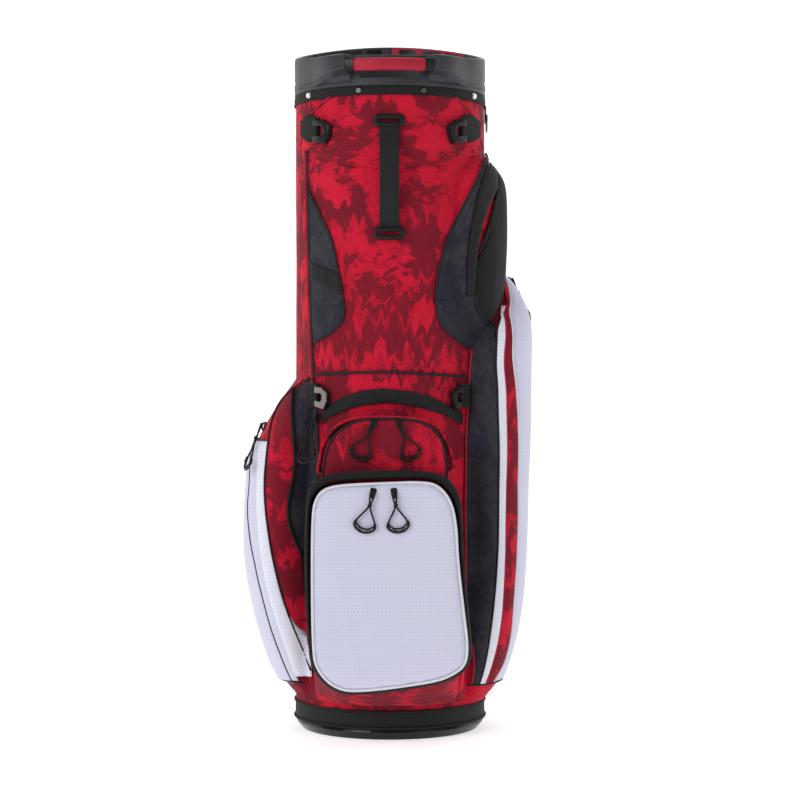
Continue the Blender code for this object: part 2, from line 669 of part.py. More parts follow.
def make_front_pockets():
    low, high = BALL_Z
    outline = rounded_outline((BALL_X - BALL_HALF, low), (BALL_X + BALL_HALF, high), BALL_CORNER)
    inside = rounded_outline((BALL_X - BALL_HALF + BALL_WALL, low + BALL_WALL),
                             (BALL_X + BALL_HALF - BALL_WALL, high - BALL_WALL), BALL_CORNER - BALL_WALL)
    clear = turned("ball_tube_cut", [(TUBE_R + 0.0004, 0.95), (TUBE_R + 0.0004, -0.1), (0.0, -0.1), (0.0, 0.95)],
                   closed=True)
    pocket = prism("ball_pocket", outline, BALL_FRONT, -0.070, "dark_fabric")
    boolean(pocket, prism("ball_inside_cut", inside, BALL_FRONT - 0.01, -0.060))
    boolean(pocket, clear)
    door = prism("ball_pocket_door", rounded_outline((BALL_X - DOOR_HALF, DOOR_Z[0]),
                                                     (BALL_X + DOOR_HALF, DOOR_Z[1]), BALL_CORNER * 0.8),
                 BALL_FRONT - DOOR_GAP - DOOR_WALL, BALL_FRONT - DOOR_GAP, "white_fabric")
    set_origin(door, (BALL_X, BALL_FRONT - DOOR_GAP - DOOR_WALL / 2, DOOR_Z[0]))

    arch_low, arch_high = ACCESSORY_Z
    arch = [(-ACCESSORY_HALF, arch_low), (ACCESSORY_HALF, arch_low)]
    radius = 0.050
    for i in range(8):
        a = math.radians(90 * i / 7)
        arch.append((ACCESSORY_HALF - radius + radius * math.cos(a), arch_high - radius + radius * math.sin(a)))
    for i in range(8):
        a = math.radians(90 + 90 * i / 7)
        arch.append((-ACCESSORY_HALF + radius + radius * math.cos(a), arch_high - radius + radius * math.sin(a)))
    case = prism("accessory_pocket", [(x + BALL_X, z) for x, z in arch], ACCESSORY_FRONT, -0.078, "red_fabric")
    hollow = [(x * 0.93 + BALL_X, arch_high - 0.005 - (arch_high - z) * 0.9) for x, z in arch]
    boolean(case, prism("accessory_inside_cut", hollow, ACCESSORY_FRONT + POCKET_WALL, -0.060))
    boolean(case, clear)
    keep_off = rounded_outline((BALL_X - BALL_HALF - 0.0005, low - 0.0005),
                               (BALL_X + BALL_HALF + 0.0005, high + 0.0005), BALL_CORNER)
    boolean(case, prism("accessory_ball_cut", keep_off, BALL_FRONT - 0.01, -0.060))


# ---------------------------------------------------------------- zip sliders and pulls
def zip_pull(name, head, hang, face, width=PULL_WIDTH, thick=SLIDER[1]):
    """A slider at head and its pull loop, which reaches by the vector hang; face points off the fabric."""
    head, hang, face = Vector(head), Vector(hang), Vector(face).normalized()
    down = hang.normalized()
    side = face.cross(down).normalized()
    turn = Matrix((side, face, -down)).transposed().to_4x4()
    w, t, h = SLIDER
    slider = box("slider_" + name, (-w / 2, 0.0, -h / 2), (w / 2, thick, h / 2), "black_plastic", 0.001)
    slider.data.transform(Matrix.Translation(head) @ turn)
    if turn.determinant() < 0:
        slider.data.flip_normals()
    start = head + face * (thick + CORD_R + 0.0006) - down * (h * 0.1)
    length = hang.length
    half = width / 2
    shape = [(0.0, 0.0, 1.0), (0.10, 0.14, 1.0), (0.16, 0.35, 1.0), (0.55, 0.60, 1.0), (0.9, 0.78, 1.0),
             (1.0, 0.86, 1.7), (0.75, 0.95, 1.9), (0.3, 1.0, 1.9)]
    loop = shape + [(-x, d, s) for x, d, s in reversed(shape[1:])]
    points = [start + side * (x * half) + down * (d * length) for x, d, s in loop]
    pull = wire("pull_" + name, points, CORD_R, "black_rubber", cyclic=True, swell=[s for x, d, s in loop])
    set_origin(slider, head)
    set_origin(pull, start)


def make_zips():
    door_face = BALL_FRONT - DOOR_GAP - DOOR_WALL - 0.0005
    zip_z = DOOR_Z[1] - 0.009
    for name, x, lean in (("ball_left", -0.020, -0.012), ("ball_right", 0.006, 0.006)):
        zip_pull(name, (x, door_face, zip_z), (lean, 0.0, -0.048), (0, -1, 0), 0.024)
    case_face = ACCESSORY_FRONT - 0.0008
    for name, x, lean in (("accessory_left", -0.020, -0.020), ("accessory_right", 0.012, 0.018)):
        zip_pull(name, (x, case_face, ACCESSORY_Z[1] - 0.008), (lean, 0.0, -0.044), (0, -1, 0), 0.024)
    zip_pull("left_pocket", around(-72, 0.1672, 0.390), (-0.020, -0.002, -0.058),
             around(-72, 1.0) + Vector((0, 0, 0.45)))
    zip_pull("slash_pocket", around(-46, TUBE_R + 0.004, 0.402), (-0.012, -0.026, -0.056), around(-40, 1.0))
    zip_pull("right_pocket", around(112, 0.1700, 0.580), (0.022, -0.004, -0.058),
             around(104, 1.0) + Vector((0, 0, 0.45)))


base_cup = make_base()
collar_ring = make_collar()
make_stays(base_cup, collar_ring)
make_grips()
make_dividers()
make_tube(collar_ring)
make_handle()
make_clips()
make_ring()
make_legs()
make_linkage()
make_side_pockets()
make_front_pockets()
make_zips()
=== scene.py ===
# %% [markdown]
# A golf stand bag is a fabric tube on a moulded base, with a moulded collar at the mouth and pockets sewn on
# round the tube. The imported solid model is the frame: every new piece goes where the frame says and rides on
# the body that carries it. The frame is loaded first, and its box is kept and printed.

# %% Load the frame
import math

import bmesh
import bpy
from mathutils import Matrix, Vector, noise
from mathutils.geometry import delaunay_2d_cdt


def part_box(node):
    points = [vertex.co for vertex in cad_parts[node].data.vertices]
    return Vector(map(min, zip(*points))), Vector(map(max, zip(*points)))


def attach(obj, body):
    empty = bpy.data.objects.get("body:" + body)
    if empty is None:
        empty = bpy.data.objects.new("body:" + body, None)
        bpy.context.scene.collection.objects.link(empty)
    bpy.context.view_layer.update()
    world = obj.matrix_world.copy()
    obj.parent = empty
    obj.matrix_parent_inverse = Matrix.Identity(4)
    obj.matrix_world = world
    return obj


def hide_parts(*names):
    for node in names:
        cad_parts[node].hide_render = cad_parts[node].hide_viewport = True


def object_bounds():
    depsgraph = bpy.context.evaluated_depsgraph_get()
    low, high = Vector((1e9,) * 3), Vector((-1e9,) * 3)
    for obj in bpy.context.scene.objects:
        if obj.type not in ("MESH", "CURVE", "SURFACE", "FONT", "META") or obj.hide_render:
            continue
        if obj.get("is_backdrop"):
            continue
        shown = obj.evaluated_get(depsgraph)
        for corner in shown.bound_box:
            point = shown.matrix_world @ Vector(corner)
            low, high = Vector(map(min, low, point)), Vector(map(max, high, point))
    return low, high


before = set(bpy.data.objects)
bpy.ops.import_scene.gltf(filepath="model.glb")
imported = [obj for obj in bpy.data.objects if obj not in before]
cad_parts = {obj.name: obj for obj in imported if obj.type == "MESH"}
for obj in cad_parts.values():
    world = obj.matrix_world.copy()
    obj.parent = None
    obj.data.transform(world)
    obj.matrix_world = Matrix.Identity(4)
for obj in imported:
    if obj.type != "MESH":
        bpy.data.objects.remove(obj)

cad_box = [list(corner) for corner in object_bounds()]
bpy.ops.object.select_all(action="DESELECT")
print("frame", len(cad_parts), "nodes, box", [[round(v, 3) for v in corner] for corner in cad_box])

# %% [markdown]
# The camera stands in front of the bag, a little under three metres away and level with its middle, so the
# sides hardly converge. A long lens fills the picture from there. The floor is one pale sheet that curves up
# behind the bag, as a studio roll does, so no horizon shows.

# %% Camera and studio
CAMERA_AT = (0.013, -2.8, 0.456)
camera_data = bpy.data.cameras.new("camera")
camera_data.lens = 96.9
camera = bpy.data.objects.new("camera", camera_data)
camera.location = CAMERA_AT
camera.rotation_euler = (math.radians(90 - 0.66), 0, 0)
bpy.context.scene.collection.objects.link(camera)
bpy.context.scene.camera = camera


MIDDLE = Vector((0, 0, 0.45))


def area_light(name, place, size, power):
    """A soft square light at place that faces the middle of the bag."""
    data = bpy.data.lights.new(name, "AREA")
    data.size, data.energy = size, power
    light = bpy.data.objects.new(name, data)
    light.location = place
    light.rotation_euler = (MIDDLE - Vector(place)).to_track_quat("-Z", "Y").to_euler()
    bpy.context.scene.collection.objects.link(light)


for name, place, size, power in (("key", (-2.2, -2.6, 1.9), 1.6, 44), ("fill", (2.6, -2.2, 1.2), 2.0, 10),
                                 ("top", (0.2, -0.2, 2.6), 1.6, 11), ("left_edge", (-2.2, 0.7, 0.9), 1.2, 8),
                                 ("right_edge", (2.2, 0.7, 0.9), 1.2, 8), ("rear", (0.4, 2.8, 1.6), 2.0, 12)):
    area_light(name, place, size, power)
world = bpy.data.worlds.new("studio")
world.use_nodes = True
world.node_tree.nodes["Background"].inputs["Color"].default_value = (1, 1, 1, 1)
world.node_tree.nodes["Background"].inputs["Strength"].default_value = 0.30
bpy.context.scene.world = world
bpy.context.scene.view_settings.view_transform = "Standard"
print("camera at", CAMERA_AT)

# %% [markdown]
# Each finish is a small network of shader nodes. Written out by hand such a network is long, so one class
# wraps a socket and turns ordinary arithmetic into Math nodes, and one method makes every other kind of node.
# Patterns follow the cloth: each fabric piece carries a UV map in metres, across and up.

# %% Shader values and paints
class Value:
    """A shader socket that adds, subtracts, multiplies and divides as a number does."""

    def __init__(self, paint, socket):
        self.paint, self.socket = paint, socket

    def maths(self, operation, *values):
        return self.paint.node("ShaderNodeMath", {"operation": operation}, dict(enumerate(values)))

    def __add__(self, other): return self.maths("ADD", self, other)
    def __radd__(self, other): return self.maths("ADD", other, self)
    def __sub__(self, other): return self.maths("SUBTRACT", self, other)
    def __rsub__(self, other): return self.maths("SUBTRACT", other, self)
    def __mul__(self, other): return self.maths("MULTIPLY", self, other)
    def __rmul__(self, other): return self.maths("MULTIPLY", other, self)
    def __truediv__(self, other): return self.maths("DIVIDE", self, other)
    def sine(self): return self.maths("SINE", self)
    def size(self): return self.maths("ABSOLUTE", self)
    def mirrored(self, width): return self.maths("PINGPONG", self, width)

    def between(self, low, high):
        """0 below low, 1 above high, and smooth from one to the other."""
        return self.paint.node("ShaderNodeMapRange", {"interpolation_type": "SMOOTHSTEP"},
                               {"Value": self, "From Min": low, "From Max": high})


class Paint:
    """One material, and the nodes that are added to it."""

    def __init__(self, name, roughness=0.7, metallic=0.0, sheen=0.0, specular=0.22):
        self.material = bpy.data.materials.new(name)
        self.material.use_nodes = True
        self.tree = self.material.node_tree
        self.shader = self.tree.nodes["Principled BSDF"]
        for socket, value in (("Roughness", roughness), ("Metallic", metallic), ("Sheen Weight", sheen),
                              ("Sheen Roughness", 0.45), ("Specular IOR Level", specular)):
            self.shader.inputs[socket].default_value = value

    def node(self, kind, settings=None, inputs=None, output=0):
        made = self.tree.nodes.new(kind)
        for key, value in (settings or {}).items():
            setattr(made, key, value)
        for key, value in (inputs or {}).items():
            if isinstance(value, Value):
                self.tree.links.new(value.socket, made.inputs[key])
            else:
                made.inputs[key].default_value = value
        return Value(self, made.outputs[output])

    def axes(self, source):
        node = self.node("ShaderNodeSeparateXYZ", {}, {0: source}).socket.node
        return [Value(self, output) for output in node.outputs]

    def cloth_map(self):
        """Across and up the cloth, in metres."""
        return self.axes(self.node("ShaderNodeUVMap", {"uv_map": "cloth"}))[:2]

    def place(self):
        return self.axes(self.node("ShaderNodeTexCoord", {}, {}, "Object"))

    def vector(self, x=0.0, y=0.0, z=0.0):
        return self.node("ShaderNodeCombineXYZ", {}, {0: x, 1: y, 2: z})

    def cloud(self, vector, scale=1.0, detail=2.0, roughness=0.5, distortion=0.0):
        return self.node("ShaderNodeTexNoise", {}, {"Vector": vector, "Scale": scale, "Detail": detail,
                                                    "Roughness": roughness, "Distortion": distortion})

    def mix(self, factor, one, two):
        """From colour one to colour two."""
        made = self.node("ShaderNodeMix", {"data_type": "RGBA"}, {"Factor": factor}, 2)
        for socket, colour in ((made.socket.node.inputs[6], one), (made.socket.node.inputs[7], two)):
            if isinstance(colour, Value):
                self.tree.links.new(colour.socket, socket)
            else:
                socket.default_value = (*colour, 1)
        return made

    def set(self, socket, value):
        self.tree.links.new(value.socket, self.shader.inputs[socket])

    def bump(self, height, strength=0.4, distance=0.0005):
        self.set("Normal", self.node("ShaderNodeBump", {}, {"Height": height, "Strength": strength,
                                                              "Distance": distance}))


def wave(value, pitch):
    """A smooth 0 to 1 wave that repeats every pitch metres."""
    return (value * (2 * math.pi / pitch)).sine() * 0.5 + 0.5


print("shader helpers ready")

# %% [markdown]
# The main cloth is a ripstop printed with jagged blotches, mirrored left and right as such prints are, with
# thin contour lines round some of them. A noise pattern gives blotches, but soft ones. Bending its
# coordinates with zigzags first pulls the edges into spikes, and a hard threshold then cuts them out. The
# dark heather cloth is the same print in near blacks, with a brushed grain over it.

# %% Printed cloths
RIPSTOP_PITCH = 0.0026


def zigzag(value, pitch):
    return value.mirrored(pitch / 2) / (pitch / 2) - 0.5


def printed_cloth(name, ground, blotch, line, grain, sheen=0.04):
    paint = Paint(name, roughness=0.78, sheen=sheen, specular=0.12)
    u, v = paint.cloth_map()
    fold = (u + 0.012).mirrored(0.066)
    far = paint.cloud(paint.vector(u * 5, v * 5), 1.0, 1.0)
    sway = paint.cloud(paint.vector(fold * 30, v * 30, far * 2), 1.0, 2.0) - 0.5
    patch = paint.cloud(paint.vector(fold * 11, v * 13, 7.0), 1.0, 1.0).between(0.42, 0.60)
    tall = zigzag(fold + sway * 0.03, 0.019) * (patch * 0.8 + 0.2) * 0.022
    wide = zigzag(v + sway * 0.03, 0.015) * (1 - patch * 0.8) * 0.014
    bent = paint.vector((fold + wide) * 24, (v + tall) * 25, far * 3.2 + u * 8)
    blot = paint.cloud(bent, 1.0, 3.4, 0.54, 0.30)
    shape = blot.between(0.508, 0.516)
    rings = ((blot * 58).sine().size()).between(0.16, 0.36)
    where = paint.cloud(paint.vector(u * 13, v * 17, 4.0), 1.0, 1.0).between(0.40, 0.44)
    near = 1 - (blot - 0.5).size().between(0.06, 0.20)
    lines = (1 - rings) * where * near
    threads = wave(u, RIPSTOP_PITCH) * 0.5 + wave(v, RIPSTOP_PITCH * 0.8) * 0.5
    colour = paint.mix(shape, ground, blotch)
    halo = blot.between(0.462, 0.470) * (1 - shape)
    colour = paint.mix(halo * 0.45, colour, line)
    colour = paint.mix(lines * 0.9, colour, line)
    fade = paint.cloud(paint.vector(u * 9, v * 6, 2.0), 1.0, 2.0).between(0.3, 0.75)
    colour = paint.mix(fade * 0.16, colour, [c * 0.55 for c in ground])
    ribs = threads.between(0.55, 1.0)
    colour = paint.mix(ribs * 0.13, colour, [min(1.0, c * 1.5 + 0.02) for c in ground])
    if grain:
        streaks = paint.cloud(paint.vector(u * 1500, v * 90), 1.0, 2.0, 0.6).between(0.40, 0.72)
        colour = paint.mix(streaks * grain, colour, [c * 2.1 + 0.008 for c in ground])
    paint.set("Base Color", colour)
    weave = wave(u, 0.0011) * wave(v, 0.0011)
    paint.bump(threads * 0.7 + weave * 0.5, 0.35, 0.00035)
    return paint.material


CAMO = printed_cloth("red_camo_cloth", (0.56, 0.008, 0.032), (0.155, 0.007, 0.018), (0.27, 0.005, 0.019), 0)
HEATHER = printed_cloth("dark_heather_cloth", (0.032, 0.031, 0.037), (0.017, 0.017, 0.030),
                        (0.022, 0.022, 0.032), 0.35, 0.03)
print(CAMO.name, HEATHER.name)

# %% [markdown]
# The white pockets are a plain ripstop with rows of tiny raised dashes. The rest are the trims: ribbed
# webbing, soft binding, stretch cloth on the bottle sleeve, corded piping, zip tape, and the moulded parts.

# %% Plain cloths and trims
def white_ripstop(name, colour, depth=0.5):
    paint = Paint(name, roughness=0.62, sheen=0.1, specular=0.2)
    u, v = paint.cloth_map()
    rows = wave(v, 0.0042)
    dashes = wave(u + wave(v, 0.0084) * 0.0016, 0.0046)
    raised = (rows * dashes).between(0.45, 0.9)
    weave = wave(u, 0.0013) * wave(v, 0.0013)
    haze = paint.cloud(paint.vector(u * 7, v * 7), 1.0, 3.0).between(0.35, 0.75)
    tone = paint.mix(raised * 0.8, colour, [c * 0.84 for c in colour])
    paint.set("Base Color", paint.mix(haze * 0.25, tone, [c * 0.93 for c in colour]))
    paint.bump(raised * depth + weave * 0.25, 0.35, 0.0004)
    return paint.material


def ribbed_cloth(name, colour, pitch, rough=0.8, across=True, depth=0.6):
    """Webbing and tape: fine ribs across or along, and a speckle of lighter threads."""
    paint = Paint(name, roughness=rough, sheen=0.02, specular=0.35)
    u, v = paint.cloth_map()
    along, over = (v, u) if across else (u, v)
    ribs = wave(along, pitch)
    cross = wave(over + wave(along, pitch * 2) * pitch * 0.4, pitch * 1.4)
    speck = paint.cloud(paint.vector(u * 1100, v * 1100), 1.0, 1.0)
    tone = paint.mix(ribs * cross * 0.5, [c * 0.7 for c in colour], [c * 1.7 + 0.004 for c in colour])
    paint.set("Base Color", paint.mix(speck.between(0.55, 0.8) * 0.3, tone, [c * 2.2 + 0.01 for c in colour]))
    paint.bump(ribs * depth + cross * 0.3, 0.5, 0.0004)
    return paint.material


def moulded(name, colour, rough, grain):
    """Plastic or rubber with a spark-etched grain and a little wear in its gloss."""
    paint = Paint(name, roughness=rough)
    where = paint.node("ShaderNodeTexCoord", {}, {}, "Object")
    pits = paint.cloud(where, 900.0, 2.0, 0.6)
    smudge = paint.cloud(where, 24.0, 3.0, 0.6)
    worn = [c * 1.35 + 0.003 for c in colour]
    paint.set("Base Color", paint.mix(smudge.between(0.35, 0.75) * 0.5, colour, worn))
    paint.set("Roughness", smudge * 0.22 + (rough - 0.10))
    paint.bump(pits, grain, 0.00025)
    return paint.material


def brushed(name, colour, rough):
    """Metal with fine marks that run up and down."""
    paint = Paint(name, roughness=rough, metallic=1.0)
    x, y, z = paint.place()
    marks = paint.cloud(paint.vector(x * 1400, y * 1400, z * 30), 1.0, 3.0, 0.6)
    paint.set("Base Color", paint.mix(marks.between(0.3, 0.7) * 0.5, colour, [c * 0.8 for c in colour]))
    paint.set("Roughness", marks * 0.25 + (rough - 0.1))
    paint.bump(marks, 0.12, 0.0001)
    return paint.material


WHITE = white_ripstop("white_ripstop", (0.60, 0.60, 0.74))
WHITE_TAPE = white_ripstop("white_tape", (0.74, 0.75, 0.85), 0.2)
WEBBING = ribbed_cloth("black_webbing", (0.0085, 0.009, 0.0095), 0.0019)
BINDING = ribbed_cloth("black_binding", (0.006, 0.006, 0.0065), 0.0012, across=False)
STRETCH = ribbed_cloth("black_stretch_cloth", (0.006, 0.0055, 0.006), 0.0011, 0.9, depth=0.3)
GUSSET = ribbed_cloth("black_gusset_cloth", (0.005, 0.005, 0.0055), 0.0024, depth=0.8)
PIPING = ribbed_cloth("dark_piping", (0.012, 0.012, 0.018), 0.0010, across=False)
RED_PIPING = ribbed_cloth("red_piping", (0.42, 0.010, 0.032), 0.0010, across=False)
WHITE_PIPING = ribbed_cloth("white_piping", (0.78, 0.79, 0.86), 0.0010, 0.6, across=False, depth=0.3)
CORD = ribbed_cloth("black_cord", (0.008, 0.008, 0.008), 0.0009, across=False)
COLLAR = moulded("collar_plastic", (0.034, 0.037, 0.042), 0.44, 0.3)
BLACK = moulded("black_plastic", (0.006, 0.006, 0.0065), 0.30, 0.2)
BASE = moulded("base_plastic", (0.005, 0.005, 0.0055), 0.24, 0.2)
RUBBER = moulded("black_rubber", (0.006, 0.006, 0.006), 0.70, 0.5)
GRIP = moulded("red_rubber", (0.36, 0.013, 0.032), 0.50, 0.5)
GREY = moulded("grey_plastic", (0.20, 0.20, 0.195), 0.36, 0.2)
STEEL = brushed("steel", (0.56, 0.56, 0.57), 0.30)
ALUMINIUM = brushed("brushed_aluminium", (0.62, 0.62, 0.64), 0.36)
print(len(bpy.data.materials), "materials")

# %% [markdown]
# A bag of this kind is drawn most simply in turns round its own axis: an angle from the strap side, a height
# and a distance from the middle. The tube and each sewn-on pocket give such a distance, and the bag's skin is
# the furthest of them. Every panel, seam and cord is then laid on that one skin, so all of them meet.

# %% The skin of the bag
TUBE_R = 0.1215
LIFT = 0.0009


def around(angle, radius, z=0.0):
    a = math.radians(angle)
    return Vector((radius * math.sin(a), -radius * math.cos(a), z))


def through(points):
    """A smooth function through rows of (input, values...)."""
    rows = sorted(points)
    count = len(rows)

    def slope(i):
        a, b = rows[max(i - 1, 0)], rows[min(i + 1, count - 1)]
        return [(y - x) / max(b[0] - a[0], 1e-9) for x, y in zip(a[1:], b[1:])]

    slopes = [slope(i) for i in range(count)]

    def value(t):
        t = min(max(t, rows[0][0]), rows[-1][0])
        i = 0
        while i < count - 2 and t > rows[i + 1][0]:
            i += 1
        a, b = rows[i], rows[i + 1]
        w = b[0] - a[0]
        s = (t - a[0]) / w
        h = (2 * s ** 3 - 3 * s * s + 1, s ** 3 - 2 * s * s + s, 3 * s * s - 2 * s ** 3, s ** 3 - s * s)
        return [h[0] * p + h[1] * w * m + h[2] * q + h[3] * w * n
                for p, m, q, n in zip(a[1:], slopes[i], b[1:], slopes[i + 1])]

    return value


LEFT_POCKET = through([
    (0.046, 58, 132, 0.006), (0.069, 57, 136, 0.024), (0.105, 57, 138, 0.040), (0.150, 57, 140, 0.054),
    (0.210, 57, 140, 0.064), (0.270, 57, 140, 0.0665), (0.320, 56, 140, 0.064), (0.350, 54, 140, 0.060),
    (0.368, 53, 139, 0.055), (0.388, 52, 138, 0.046), (0.410, 52, 136, 0.033), (0.432, 53, 133, 0.018),
    (0.448, 56, 128, 0.006)])
RIGHT_POCKET = through([
    (0.040, 54, 130, 0.006), (0.060, 53, 134, 0.022), (0.090, 52, 136, 0.034), (0.140, 52, 138, 0.046),
    (0.200, 52, 138, 0.053), (0.280, 52, 138, 0.056), (0.360, 52, 138, 0.059), (0.430, 53, 138, 0.060),
    (0.465, 55, 138, 0.061), (0.495, 57, 139, 0.062), (0.511, 60, 140, 0.062), (0.531, 66, 140, 0.060),
    (0.553, 75, 139, 0.054), (0.575, 85, 138, 0.044), (0.590, 94, 137, 0.032), (0.602, 104, 134, 0.012)])
SLEEVE = through([
    (0.500, 62, 94, 0.002), (0.508, 62, 94, 0.006), (0.525, 50, 96, 0.020), (0.560, 42, 97, 0.027),
    (0.610, 40, 97, 0.029), (0.650, 42, 97, 0.029), (0.700, 46, 97, 0.026), (0.722, 52, 96, 0.017),
    (0.740, 58, 94, 0.004)])


def wrinkle(angle, z):
    """Soft slack in the cloth, a couple of millimetres at most, none at the two hems."""
    a = math.radians(angle)
    broad = noise.noise(Vector((3.2 * math.sin(a), 3.2 * math.cos(a), z * 11)))
    fine = noise.noise(Vector((9 * math.sin(a), 9 * math.cos(a), z * 16 + 7)))
    hem = min(1.0, max(0.0, (0.800 - z) / 0.05)) * min(1.0, max(0.0, (z - 0.045) / 0.03))
    return (0.0011 * broad + 0.0006 * fine) * hem


UNDER = {"turn": 0.0, "depth": 0.0}


def bulge(rows, low, high, sign, angle, z):
    if not low < z < high:
        return 0.0
    first, last, reach = rows(z)
    first, last, reach = first + UNDER["turn"], last - UNDER["turn"], reach - UNDER["depth"]
    share = (sign * angle - first) / (last - first)
    if not 0 < share < 1 or reach <= 0:
        return 0.0
    return reach * (1 - abs(2 * share - 1) ** 2.8) ** (1 / 2.8)


def skin(angle, z):
    """Distance from the bag's axis to its cloth at an angle and a height."""
    angle = (angle + 180) % 360 - 180
    stand = [0.002,
             bulge(LEFT_POCKET, 0.046, 0.448, -1, angle, z),
             bulge(RIGHT_POCKET, 0.040, 0.602, 1, angle, z),
             bulge(SLEEVE, 0.500, 0.740, 1, angle, z)]
    stand.sort()
    near = stand[-1] - stand[-2]
    blend = 0.004
    soften = blend * 0.25 * max(0.0, 1 - near / blend) ** 2
    return TUBE_R - 0.002 + stand[-1] + soften + wrinkle(angle, z)


def on_skin(angle, z, lift=0.0):
    return around(angle, skin(angle, z) + LIFT + lift, z)


ARCS = {}


def arc_table(z):
    """Distance along the skin from the front to each degree, at a height."""
    key = round(z / 0.004)
    if key not in ARCS:
        height, runs = key * 0.004, {0: 0.0}
        for sign in (-1, 1):
            before = around(0, skin(0, height))
            for degree in range(1, 182):
                here = around(sign * degree, skin(sign * degree, height))
                runs[sign * degree] = runs[sign * (degree - 1)] + sign * (here - before).length
                before = here
        ARCS[key] = runs
    return ARCS[key]


def arc(angle, z):
    runs = arc_table(z)
    low = math.floor(angle)
    return runs[low] + (runs[low + 1] - runs[low]) * (angle - low)


def unarc(run, z):
    """The angle at a distance along the skin."""
    runs = arc_table(z)
    low, high = -181, 181
    while high - low > 1:
        middle = (low + high) // 2
        low, high = (middle, high) if runs[middle] <= run else (low, middle)
    return low + (run - runs[low]) / (runs[high] - runs[low])


def front_angle(x, z):
    """The angle at which the skin first reaches x, seen from the front."""
    sign = -1 if x < 0 else 1
    best, reach = 0.0, 0.0
    for degrees in range(0, 116):
        here = skin(sign * degrees, z) * math.sin(math.radians(degrees))
        if here >= abs(x):
            low, high = max(degrees - 1, 0), degrees
            for _ in range(12):
                middle = (low + high) / 2
                if skin(sign * middle, z) * math.sin(math.radians(middle)) < abs(x):
                    low = middle
                else:
                    high = middle
            return sign * high
        if here > reach:
            best, reach = degrees, here
    return sign * best


def drawn(points):
    """Outline points (x, height) in front view, as (angle, height) on the skin."""
    return [(front_angle(x, z), z) for x, z in points]


print("skin radius at the widest left:", round(skin(-98, 0.26), 4))

# %% [markdown]
# A sewn panel starts as a paper pattern. Its outline is sampled every few millimetres, filled with a grid of
# points, and cut into triangles, which works for any outline. The points then go onto the skin, standing
# proud by a small lift that falls away at the edge, as padded cloth does at a seam. Solidify gives it the
# thickness of cloth, and the pattern's own coordinates become its UV map.

# %% Sewn panels
def sampled(points, step, closed=True):
    """Points spaced evenly along a line that is straight between the given ones."""
    ends = points + points[:1] if closed else points
    found = []
    for a, b in zip(ends, ends[1:]):
        a, b = Vector(a), Vector(b)
        count = max(1, round((b - a).length / step))
        found += [a.lerp(b, i / count) for i in range(count)]
    if not closed:
        found.append(Vector(ends[-1]))
    return found


def rounded(points, turns=2, closed=True):
    """The same line with its corners cut off, twice over."""
    for _ in range(turns):
        ends = points + points[:1] if closed else points
        cut = []
        for a, b in zip(ends, ends[1:]):
            a, b = Vector(a), Vector(b)
            cut += [a.lerp(b, 0.25), a.lerp(b, 0.75)]
        if not closed:
            cut = [Vector(points[0])] + cut[1:-1] + [Vector(points[-1])]
        points = cut
    return points


def inside(point, ring):
    hit = False
    for a, b in zip(ring, ring[1:] + ring[:1]):
        if (a[1] > point[1]) != (b[1] > point[1]):
            if point[0] < (b[0] - a[0]) * (point[1] - a[1]) / (b[1] - a[1]) + a[0]:
                hit = not hit
    return hit


def edge_distance(point, ring):
    best = 1.0
    for a, b in zip(ring, ring[1:] + ring[:1]):
        ab, ap = b - a, point - a
        t = min(1.0, max(0.0, ap.dot(ab) / max(ab.length_squared, 1e-12)))
        best = min(best, (ap - ab * t).length)
    return best


def sheet_faces(rows, columns):
    """Four-sided faces of a grid of points that lie row after row."""
    return [(k, k + 1, k + columns + 2, k + columns + 1)
            for k in (j * (columns + 1) + i for j in range(rows) for i in range(columns))]


def ring_faces(rings, sides, closed=False):
    """Faces between rings of points that lie ring after ring."""
    faces = []
    for i in range(rings if closed else rings - 1):
        j = (i + 1) % rings
        for k in range(sides):
            m = (k + 1) % sides
            faces.append((i * sides + k, i * sides + m, j * sides + m, j * sides + k))
    return faces


def make_mesh(name, points, faces, maps, material):
    """A mesh piece with a cloth UV map, one pair of numbers for each point."""
    mesh = bpy.data.meshes.new(name)
    mesh.from_pydata(points, [], faces)
    layer = mesh.uv_layers.new(name="cloth")
    for loop in mesh.loops:
        layer.data[loop.index].uv = maps[loop.vertex_index]
    mesh.shade_smooth()
    mesh.materials.append(material)
    mesh.validate()
    obj = bpy.data.objects.new(name, mesh)
    bpy.context.scene.collection.objects.link(obj)
    return obj


def thicken(obj, thickness):
    wall = obj.modifiers.new("wall", "SOLIDIFY")
    wall.thickness, wall.offset = thickness, -1
    bpy.context.view_layer.objects.active = obj
    obj.select_set(True)
    bpy.ops.object.modifier_apply(modifier=wall.name)
    obj.select_set(False)


def smooth_below(obj, degrees):
    """Smooth shading, except over edges that turn more than this."""
    obj.select_set(True)
    bpy.context.view_layer.objects.active = obj
    bpy.ops.object.shade_smooth_by_angle(angle=math.radians(degrees))
    obj.select_set(False)


def finish_piece(obj, body, slot, *nodes):
    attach(obj, body)
    if nodes:
        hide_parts(*nodes)
    return obj


def cut_pattern(ring, grid):
    """Triangles that fill a ring, with points every grid metres inside."""
    low = Vector((min(p[0] for p in ring), min(p[1] for p in ring)))
    high = Vector((max(p[0] for p in ring), max(p[1] for p in ring)))
    points = list(ring)
    rows = int((high.y - low.y) / grid)
    for j in range(1, rows + 1):
        shift = 0.5 * grid * (j % 2)
        for i in range(int((high.x - low.x) / grid) + 1):
            p = Vector((low.x + shift + i * grid, low.y + j * grid))
            if inside(p, ring) and edge_distance(p, ring) > grid * 0.5:
                points.append(p)
    count = len(ring)
    edges = [(i, (i + 1) % count) for i in range(count)]
    cut = delaunay_2d_cdt(points, edges, [], 1, 1e-6)
    return cut[0], cut[2]


